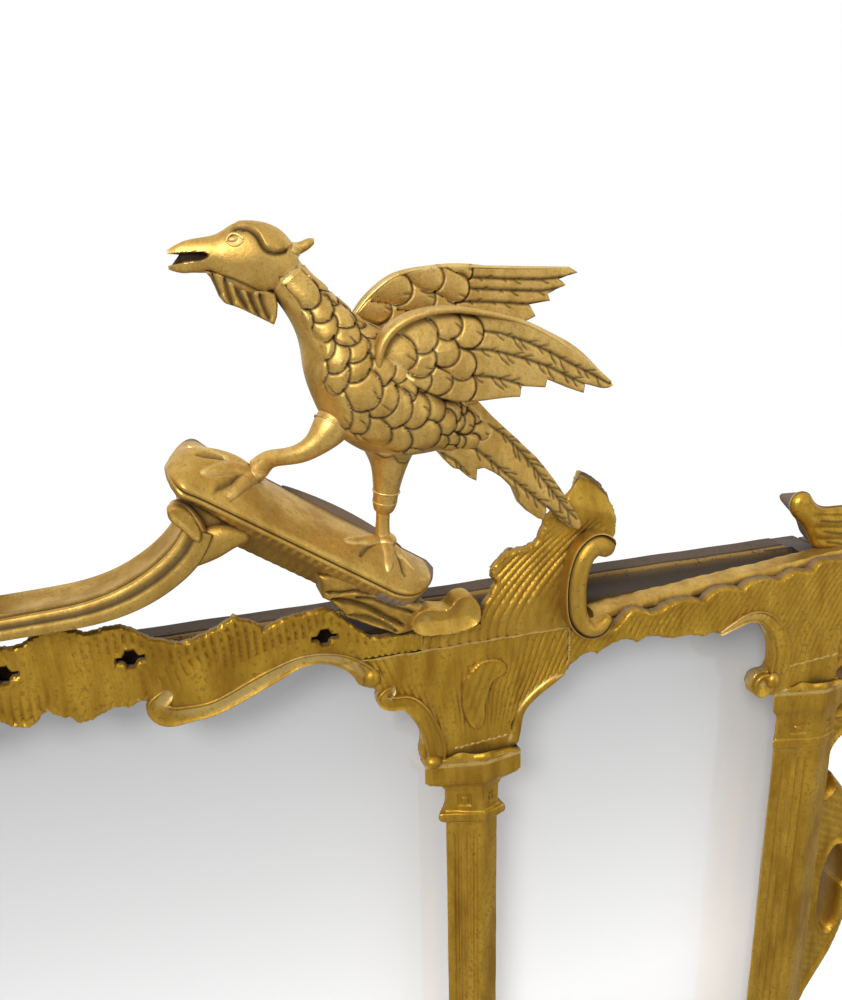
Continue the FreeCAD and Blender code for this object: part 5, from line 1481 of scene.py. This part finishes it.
def wingField(wing, x, z):
    # quills and their barbs first, then the covert feathers over their roots, hollowed under the leading edge
    ribs = incised(x, z, wing["ribs"], 1.15)
    barbs, (pitch, reach, turn) = [], wing["barbs"]
    for rib in wing["ribs"]:
        barbs += barbLines(rib, pitch, reach, turn, 0.12)
        barbs += barbLines(rib, 1.3 * pitch, 0.6 * reach, -0.8 * turn, 0.2)
    cuts = incised(x, z, barbs, 0.75)
    height, dark = -1.2 * ribs - 0.8 * cuts, np.maximum(0.9 * ribs, 0.85 * cuts)
    for count, (cx, cz, half) in enumerate(wing["scales"]):
        a = math.radians(wing["turn"] + 12 * math.sin(count * 2.1))
        along = (x - cx) * math.cos(a) + (z - cz) * math.sin(a)
        across = (z - cz) * math.cos(a) - (x - cx) * math.sin(a)
        paintScale(height, dark, along, across, half, 1.7 * half, (None, 0.35, -0.3, None, 0.2)[count % 5])
    away = lineGap(x, z, [knot[:2] for knot in wing["lead"]])[0]
    fade = np.clip((wing["hollowEnd"] - x) / 45, 0, 1)
    return height - wing["hollow"] * np.clip(1 - away / 24, 0, 1) ** 0.7 * fade, dark


# lead: x, z, half width, rise; barbs: pitch, reach, turn; scales: x, z, half width
nearWing = {"depth": -94.5, "thick": 5.5, "hollow": 6.0, "hollowEnd": 455.0, "turn": -32.0,
            "lead": ((359.5, 1208, 1.8, 2.5), (361, 1216, 2.7, 3.5), (366, 1225.5, 3.0, 4.2),
                     (376, 1233, 2.9, 4.2), (391, 1237.8, 2.5, 4), (408, 1239, 2.2, 3.6),
                     (428, 1236, 1.9, 3.2), (452, 1229.8, 1.5, 2.4), (478, 1217, 1.2, 1.8),
                     (503, 1200, 1.0, 1.4), (520, 1186.2, 0.8, 1.0)),
            "ribs": (((426, 1225), (440.9, 1222.6), (459, 1216.1), (474.4, 1209), (490.2, 1200.2),
                      (506.4, 1192), (519.6, 1184.5)),
                     ((417, 1214.2), (432.1, 1212.7), (444, 1209.7), (459.1, 1205), (474.6, 1199.1),
                      (490.5, 1190.9), (501, 1185.8)),
                     ((418, 1197.4), (432.1, 1195.7), (444.1, 1192.8), (456, 1188.6))),
            "barbs": (10.0, 11.0, -38.0), "boss": ((390, -88, 1207), (16, 12, 15)),
            "scales": ((412.2, 1190.5, 10.5), (397, 1196.1, 9.5), (382.8, 1197, 9.5), (413.8, 1204.5, 9.0),
                       (418.7, 1224.5, 10.0), (401.9, 1213.7, 9.5), (405.4, 1229.9, 9.0),
                       (385.9, 1209.1, 10.0), (387.9, 1224.2, 10.5), (372.5, 1213.5, 11.0))}
farWing = {"depth": -35.5, "thick": 4.5, "hollow": 0.0, "hollowEnd": 455.0, "turn": -18.0,
           "lead": ((361, 1234, 1.2, 2), (367, 1241, 1.6, 2.4), (376, 1249, 1.8, 2.6), (389, 1257, 1.7, 2.6),
                    (405, 1260.6, 1.5, 2.4), (424, 1262, 1.3, 2.2), (455, 1260.4, 1.1, 2.0),
                    (490, 1258.8, 1.0, 1.8), (515, 1257.8, 0.8, 1.2)),
           "ribs": (((440, 1254.4), (470.9, 1252.1), (495.7, 1250.9), (519.4, 1252.4)),
                    ((438, 1247.1), (471, 1244.4), (495.9, 1242.9), (512.8, 1244.7)),
                    ((434, 1238.5), (462.8, 1236.6), (484.3, 1234.4), (502.8, 1235.3))),
           "barbs": (15.0, 6.0, -34.0), "boss": ((388, -50, 1214), (15, 14, 14)),
           "scales": ((422, 1237.6, 9.0), (437, 1258.4, 6.5), (431.6, 1247.6, 9.5), (390.9, 1230.5, 10.5),
                      (406.5, 1241.9, 9.5), (413, 1255.2, 9.5), (375.9, 1235.4, 9.0), (389.9, 1248.6, 10.0))}


def buildWing(name, node, facing, wing):
    loops = capLoops("right_" + node, facing)
    parts = carvedPair(loops, wing["depth"], wing["thick"], lambda x, z: wingField(wing, x, z), 0.95)
    front = sweepBand(wing["lead"], 100, roundSection(12, 1.0), wing["depth"] - wing["thick"] + 1.2)
    parts += [front, mirrored(front, 1, wing["depth"]), knob(*wing["boss"], 24, 14)]
    finishPair(name, parts, node, angle=50, pale=1.0)


legs = {"rear": ((374, -68, 1168, 27), (374, -67, 1156, 22.5), (374, -65, 1146, 17.4),
                 (373.5, -64, 1135, 12.6), (372.5, -62, 1123, 9.9), (371.6, -60, 1112, 8.6),
                 (371, -58, 1105, 8.0), (370.8, -57, 1102, 7.0)),
        "rearPin": ((370.5, -57, 1104, 5.0), (370, -56.5, 1094, 4.8), (369.5, -56, 1085, 5.4),
                    (369, -56, 1077, 7.0)),
        "front": ((350, -68, 1186, 10.5), (341, -72, 1176, 12), (334, -76, 1168.5, 12.2),
                  (329, -77.5, 1163.5, 11), (322, -78.5, 1157.5, 8.2), (312, -77, 1152, 6.4),
                  (302, -71, 1149, 5.6), (294, -64, 1146.5, 6.0), (287, -59, 1140, 7.4)),
        "thighCuts": (((357, 1156), (360, 1148), (366, 1144.5), (373, 1147), (377, 1153)),
                      ((371, 1147), (376, 1140), (382, 1138), (386, 1140)), ((376, 1158), (382, 1152), (390, 1152), (397, 1156))),
        "lines": (((372, -61, 1116), (0.1, -0.1, 1), 9.0, 0.8), ((371.2, -59, 1108), (0.1, -0.1, 1),
                                                                 8.1, 0.7),
                  ((333, -76, 1167.5), (0.6, 0.25, 0.7), 12.3, 0.7)),
        "rearFoot": (60.0, -56.0), "frontFoot": (-45.0, -59.0),
        "rearToes": ((-32, -72, 5.4), (4, -82, 5.6), (26, -68, 5.4), (10, -40, 4.5)),
        "frontToes": ((-44, -54, 5.8), (-34, -78, 5.8), (-12, -85, 5.6), (14, -42, 4.5))}


def footParts(along, y, toes):
    # low ridges running out of the mound
    parts = [knob(perchPoint(along, perchTop(y) + footMound(along, y), y), (9, 10, 6), 24, 14)]
    for reach, tipY, radius in toes:
        knots = []
        for share, size in ((0, 1.2), (0.25, 1.15), (0.5, 1.0), (0.75, 0.8), (0.92, 0.55), (1.0, 0.3)):
            spot, spotY = along + reach * share, y + (tipY - y) * share
            rise = perchTop(spotY) + footMound(spot, spotY) - 0.62 * radius * size
            knots.append((*perchPoint(spot, rise, spotY), radius * size))
        parts.append(tube(knots, 30, 14))
    return parts


def ringLine(centre, ahead, radius, thick):
    # raised line round a leg
    ahead = np.array(ahead, float) / np.linalg.norm(ahead)
    side = np.cross(ahead, (0, 1, 0))
    side /= np.linalg.norm(side)
    other = np.cross(ahead, side)
    rings = []
    for turn in np.linspace(0, 2 * math.pi, 41):
        out = side * math.cos(turn) + other * math.sin(turn)
        rings.append([np.array(centre) + out * (radius + thick * math.cos(a)) + ahead * thick * math.sin(a)
                      for a in fullTurn(8)])
    return loftRings(rings)


def buildLegs():
    parts = [tube(legs["rear"], 110, 90), tube(legs["rearPin"], 18, 16), tube(legs["front"], 60, 24)]
    parts += footParts(*legs["rearFoot"], legs["rearToes"]) + footParts(*legs["frontFoot"], legs["frontToes"])
    parts += [ringLine(*line) for line in legs["lines"]]
    # feather ends cut into the top of the rear thigh
    thigh = parts[0]
    cuts = incised(thigh[0][:, 0], thigh[0][:, 2], legs["thighCuts"], 0.95)
    thigh[2][:, 1] = 0.85 * cuts
    finishPair("BirdLegs", parts, "bird_legs", angle=48, pale=1.0)


buildBirdBody()
buildWing("BirdFrontWing", "bird_front_wing", -1, nearWing)
buildWing("BirdBackWing", "bird_back_wing", 1, farWing)
buildLegs()
print("bird done")


# pierced side scrollwork, leaf finials and the shell crest

def sideCut(x, z, gap):
    rim = 3.2 * np.exp(-((gap - 4.5) / 2.4) ** 2)
    waves = np.abs(np.sin(math.pi * (z / 8.5 + (x - 768) / 16)))
    return edgeRound(gap, 4.0) + 3.4 - rim - waves * np.clip((gap - 8) / 3, 0, 1)


def buildSide():
    loops = capLoops("right_side_scrollwork", 1)
    low, high = boxOf("right_side_scrollwork")
    board = reliefBoard([loops[0]], high[1], low[1], sideCut, 2.0, loops[1:])
    finishPair("SideScrollwork", [board], "side_scrollwork", angle=42)


def finialCut(x, z, gap):
    phase = ((z - 1030) * 0.9 + (x - 740) * 0.12) / 9.5
    fade = np.clip((gap - 2) / 4, 0, 1) * np.clip((x - 738) / 12, 0, 1)
    return edgeRound(gap, 8.0) + 2.2 * reeds(phase) * fade


finial = {"outline": ((721, 1060), (723.5, 1068), (730, 1071.5), (738.5, 1069.5), (744.5, 1062), (752, 1057),
                      (765, 1055), (780, 1054), (794, 1048), (803, 1037), (801, 1024), (792, 1016),
                      (770, 1014.5), (754, 1016), (746, 1025), (739.5, 1037), (730, 1047)),
          "veins": (((748, 1046), (765, 1043), (784, 1042)), ((752, 1036), (770, 1032), (788, 1030)),
                    ((757, 1026), (774, 1022), (788, 1021))),
          "front": -54.0, "back": -24.0}


def buildFinial():
    loop = closedCurve(finial["outline"], 120)
    board = reliefBoard([loop], finial["back"], finial["front"], finialCut, 1.3, bevel=8.0)
    points, faces, finish = board
    front = len(points) // 2
    finish[:front, 1] = 0.8 * incised(points[:front, 0], points[:front, 2], finial["veins"], 1.2)
    finishPair("Finial", [board], "finial", angle=44)


crest = {"root": 1010.0, "ribDepth": 5.5, "leafFoot": 1020.0,
         "leaf": {"lift": 4.0, "dome": 4.0, "soft": 2.0, "sink": 5.0, "rib": 2.2, "barb": 1.4, "pitch": 9.0,
                  "slant": 0.8},
         "tips": ((-62, 1062, 16), (62, 1062, 16), (-34, 1092, 17), (34, 1092, 17), (0, 1110, 19))}


def crestCut(x, z, gap):
    # shell ribs fan out from the root
    up = z - crest["root"]
    away = np.hypot(x, up)
    phase = np.arctan2(x, up) * 15 / math.pi * 2.2
    ribs = crest["ribDepth"] * reeds(phase) ** 0.8 * np.clip((away - 40) / 60, 0, 1)
    return ribs + edgeRound(gap, 6.0) + 5.0 * np.exp(-((away - 120) / 60) ** 2)


def buildCrest():
    low, high = boxOf("centre_crest")
    parts = [reliefBoard(capLoops("centre_crest", 1), high[1], low[1], crestCut, 2.0)]
    for x, z, half in crest["tips"]:
        foot = np.array([x * 0.12, crest["leafFoot"]])
        length = np.linalg.norm(np.array([x, z]) - foot)
        ahead = (np.array([x, z]) - foot) / length

        def place(along, across, height, foot=foot, ahead=ahead):
            spot = foot + ahead * along + leftOf(ahead) * across
            return (spot[0], low[1] + 1 - height, spot[1])
        parts.append(leafShell(place, length, half, crest["leaf"], 24, 15))
    parts.append(knob((0, low[1], 1030), (17, 11, 15), 28, 16))
    finishPiece("centreCrest", joinParts(parts), "centre_crest", angle=42)


buildSide()
buildFinial()
buildCrest()
print("outer ornaments and crest done")


# frame members and side plates as they show between the carvings

joinery = {"web": ((424.8, 431.2), (-48, -0.4), (45, 1004)), "webStep": (4.4, -31),
           "centreGlass": (-424.4, 424.4), "sideGlass": (431.6, 747.6), "plate": ((-30, -25), (60, 1003)),
           "stile": ((742, -48), (768, -48), (768, -0.4), (719.8, -0.4), (719.8, -24.6), (748, -24.6)),
           "stileEnds": (0.3, 1013.4), "soft": 0.9}


def barPart(corners, low, high):
    # upright bar with eased edges, corners listed as x, y
    corners = np.array(corners, float)
    ring = []
    for k, corner in enumerate(corners):
        for other in (corners[k - 1], corners[(k + 1) % len(corners)]):
            run = other - corner
            ring.append(corner + run / np.linalg.norm(run) * joinery["soft"])
    middle = corners.mean(axis=0)
    rings = []
    for z, inset in ((low, 0.6), (low + 0.6, 0), (0.75 * low + 0.25 * high, 0), (0.5 * (low + high), 0),
                     (0.25 * low + 0.75 * high, 0), (high - 0.6, 0), (high, 0.6)):
        rings.append([(*(p + (middle - p) / np.linalg.norm(middle - p) * inset), z) for p in ring])
    return loftRings(rings)


def platePart(xs):
    (front, back), ends = joinery["plate"]
    return barPart([(xs[0], front), (xs[1], front), (xs[1], back), (xs[0], back)], *ends)


def buildJoinery():
    (left, right), (front, back), ends = joinery["web"]
    wider, step = joinery["webStep"]
    web = [(left - wider, front), (right + wider, front), (right, step), (right, back), (left, back),
           (left, step)]
    finishPair("Muntin", [barPart(web, *ends)], "muntin", uprightWood)
    finishPair("Glass", [platePart(joinery["sideGlass"])], "glass", reflectionPaintedPlate)
    finishPiece("centreGlass", platePart(joinery["centreGlass"]),
                "centre_glass", reflectionPaintedPlate)
    stile = barPart(joinery["stile"], *joinery["stileEnds"])
    finishPair("Stile", [stile], "stile", uprightWood)


# top rail: bare flat at the back, a painted bead, then a dark hollow down to the boards;
# ochre and dark belong to the corners of the section
topRail = {"end": 742.0,
           "section": ((0, 994), (0, 1013), (-1, 1014), (-17.6, 1014), (-19.2, 1012.6), (-20.4, 1013.6),
                       (-22.2, 1013.8), (-23.8, 1013.0), (-25, 1011.4), (-30, 1008), (-38, 1006.6),
                       (-44, 1006.8), (-47, 1006), (-48, 1004.5), (-48, 994)),
           "ochre": (0, 0, 0, 0, 0.2, 1, 1, 0.9, 0.3, 0, 0, 0, 0.2, 0.3, 0),
           "dark": (0.2, 0, 0, 0, 0.9, 0, 0, 0, 0.4, 0.85, 0.9, 0.9, 0.8, 0.8, 0.9)}


def buildTopRail():
    rings = []
    for x in np.linspace(-topRail["end"], topRail["end"], 220):
        wear = 0.3 * math.sin(x / 31) * math.sin(x / 12)
        rings.append([(x, y, z + (wear if z > 1005 else 0)) for y, z in topRail["section"]])
    rail = loftRings(rings)
    rail[2][:] = list(zip(topRail["ochre"], topRail["dark"])) * len(rings)
    finishPiece("topRail", rail, "top_rail", paintedRail, 40)


wallPlate = {"ear": 6.5, "hole": 2.75, "holePlace": (490.0, 1032.0), "strip": 10.0}


def buildWallPlates():
    # strip let into the back of the rail, with one narrow rounded ear above it
    low, high = boxOf("wall_plates")
    (x, z), half = wallPlate["holePlace"], wallPlate["ear"]
    strip, far = low[2] + wallPlate["strip"], 2 * x - high[0]
    outline = [(high[0], low[2]), (high[0], strip), (x + half + 3, strip), (x + half, strip + 3)]
    outline += [(x + half * math.cos(t), z + half * math.sin(t)) for t in np.linspace(-0.3, math.pi + 0.3, 22)]
    outline += [(x - half, strip + 3), (x - half - 3, strip), (far, strip), (far, low[2])]
    hole = np.array([(x + wallPlate["hole"] * math.cos(t), z + wallPlate["hole"] * math.sin(t))
                     for t in fullTurn(28)])
    part = reliefBoard([np.array(outline)], high[1], low[1], lambda a, b, gap: edgeRound(gap, 0.5),
                       1.2, [hole],
                       bareBack=False)
    finishPiece("wallPlates", joinParts([part, mirrored(part)]), "wall_plates", dullBrass, 40)


buildJoinery()
buildTopRail()
buildWallPlates()

# CAD nodes that keep their own shape
kept = {"bottom_rail": stainedWood, "centre_backboard": agedPine, "right_backboard": agedPine,
        "left_backboard": agedPine, "glazing_blocks": agedPine, "wall_plate_screws": brightIron}
for node, material in kept.items():
    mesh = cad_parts[node].data
    mesh.materials.clear()
    mesh.materials.append(material)
print("frame members done")


# floor, light and camera

studio = {"floorSize": 14.0, "floorTone": (0.58, 0.58, 0.58), "floorGlow": 1.2, "floorShare": 0.82,
          "keyPlace": (-1.3, -2.3, 2.9), "keySize": 1.1, "keyPower": 85.0,
          "fillPlace": (2.4, -2.0, 1.2), "fillSize": 2.0, "fillPower": 12.0, "aim": (0.35, 0, 0.9),
          "around": 0.45, "ahead": 0.36}


def buildFloor():
    bpy.ops.object.select_all(action="DESELECT")
    bpy.ops.mesh.primitive_plane_add(size=studio["floorSize"], location=(0, 0, -0.0005))
    floor = bpy.context.active_object
    floor.name = "floor"
    material, tree, shader = newMaterial("paleFloor")
    dress(tree, shader, {"Base Color": studio["floorTone"], "Roughness": 0.9})
    # seen directly it is white and keeps a faint shadow
    seen = addNode(tree, "LightPath").outputs["Is Camera Ray"]
    share = addMath(tree, "MULTIPLY", seen, studio["floorShare"])
    glow = addNode(tree, "Emission", Strength=studio["floorGlow"]).outputs[0]
    mix = addNode(tree, "MixShader", share, shader.outputs[0], glow).outputs[0]
    feed(tree, tree.nodes["Material Output"].inputs["Surface"], mix)
    floor.data.materials.append(material)


def buildLight():
    world = bpy.data.worlds.new("studio")
    bpy.context.scene.world = world
    world.use_nodes = True
    tree = world.node_tree
    # white behind and above the object, a shaded room ahead of it
    where = addNode(tree, "TexCoord").outputs["Generated"]
    apart = addNode(tree, "SeparateXYZ", where).outputs
    behind = addRange(tree, apart["Y"], 0.0, 1.0, -0.15, 0.15)
    above = addRange(tree, apart["Z"], 0.0, 1.0, 0.15, 0.75)
    bright = addMath(tree, "MAXIMUM", behind, above)
    path = addNode(tree, "LightPath").outputs
    seen = addMath(tree, "MAXIMUM", path["Is Camera Ray"], path["Is Glossy Ray"])
    dress(tree, tree.nodes["Background"],
          {"Color": addRamp(tree, bright, [(0.0, (studio["ahead"],) * 3), (1.0, white)]),
           "Strength": addRange(tree, seen, studio["around"], 1.0)})
    for name in ("key", "fill"):
        lamp = bpy.data.lights.new(name, "AREA")
        lamp.size = studio[name + "Size"]
        lamp.energy = studio[name + "Power"]
        holder = bpy.data.objects.new(name, lamp)
        bpy.context.collection.objects.link(holder)
        holder.location = studio[name + "Place"]
        aim = Vector(studio["aim"]) - holder.location
        holder.rotation_euler = aim.to_track_quat("-Z", "Y").to_euler()


view = {"place": (0.217, -0.632, 1.290), "right": (0.9517, -0.3064, -0.0209), "up": (0.1089, 0.2731, 0.9558),
        "forward": (0.2871, 0.9119, -0.2933), "lens": 32.4, "sensor": 36.0}


def buildCamera():
    lens = bpy.data.cameras.new("camera")
    lens.lens = view["lens"]
    lens.sensor_width = view["sensor"]
    lens.sensor_fit = "AUTO"
    lens.clip_start = 0.01
    holder = bpy.data.objects.new("camera", lens)
    bpy.context.collection.objects.link(holder)
    turned = Matrix((view["right"], view["up"], [-c for c in view["forward"]])).transposed()
    holder.matrix_world = Matrix.Translation(view["place"]) @ turned.to_4x4()
    bpy.context.scene.camera = holder


buildFloor()
buildLight()
buildCamera()
bpy.context.scene.view_settings.view_transform = "Standard"
print("studio ready")
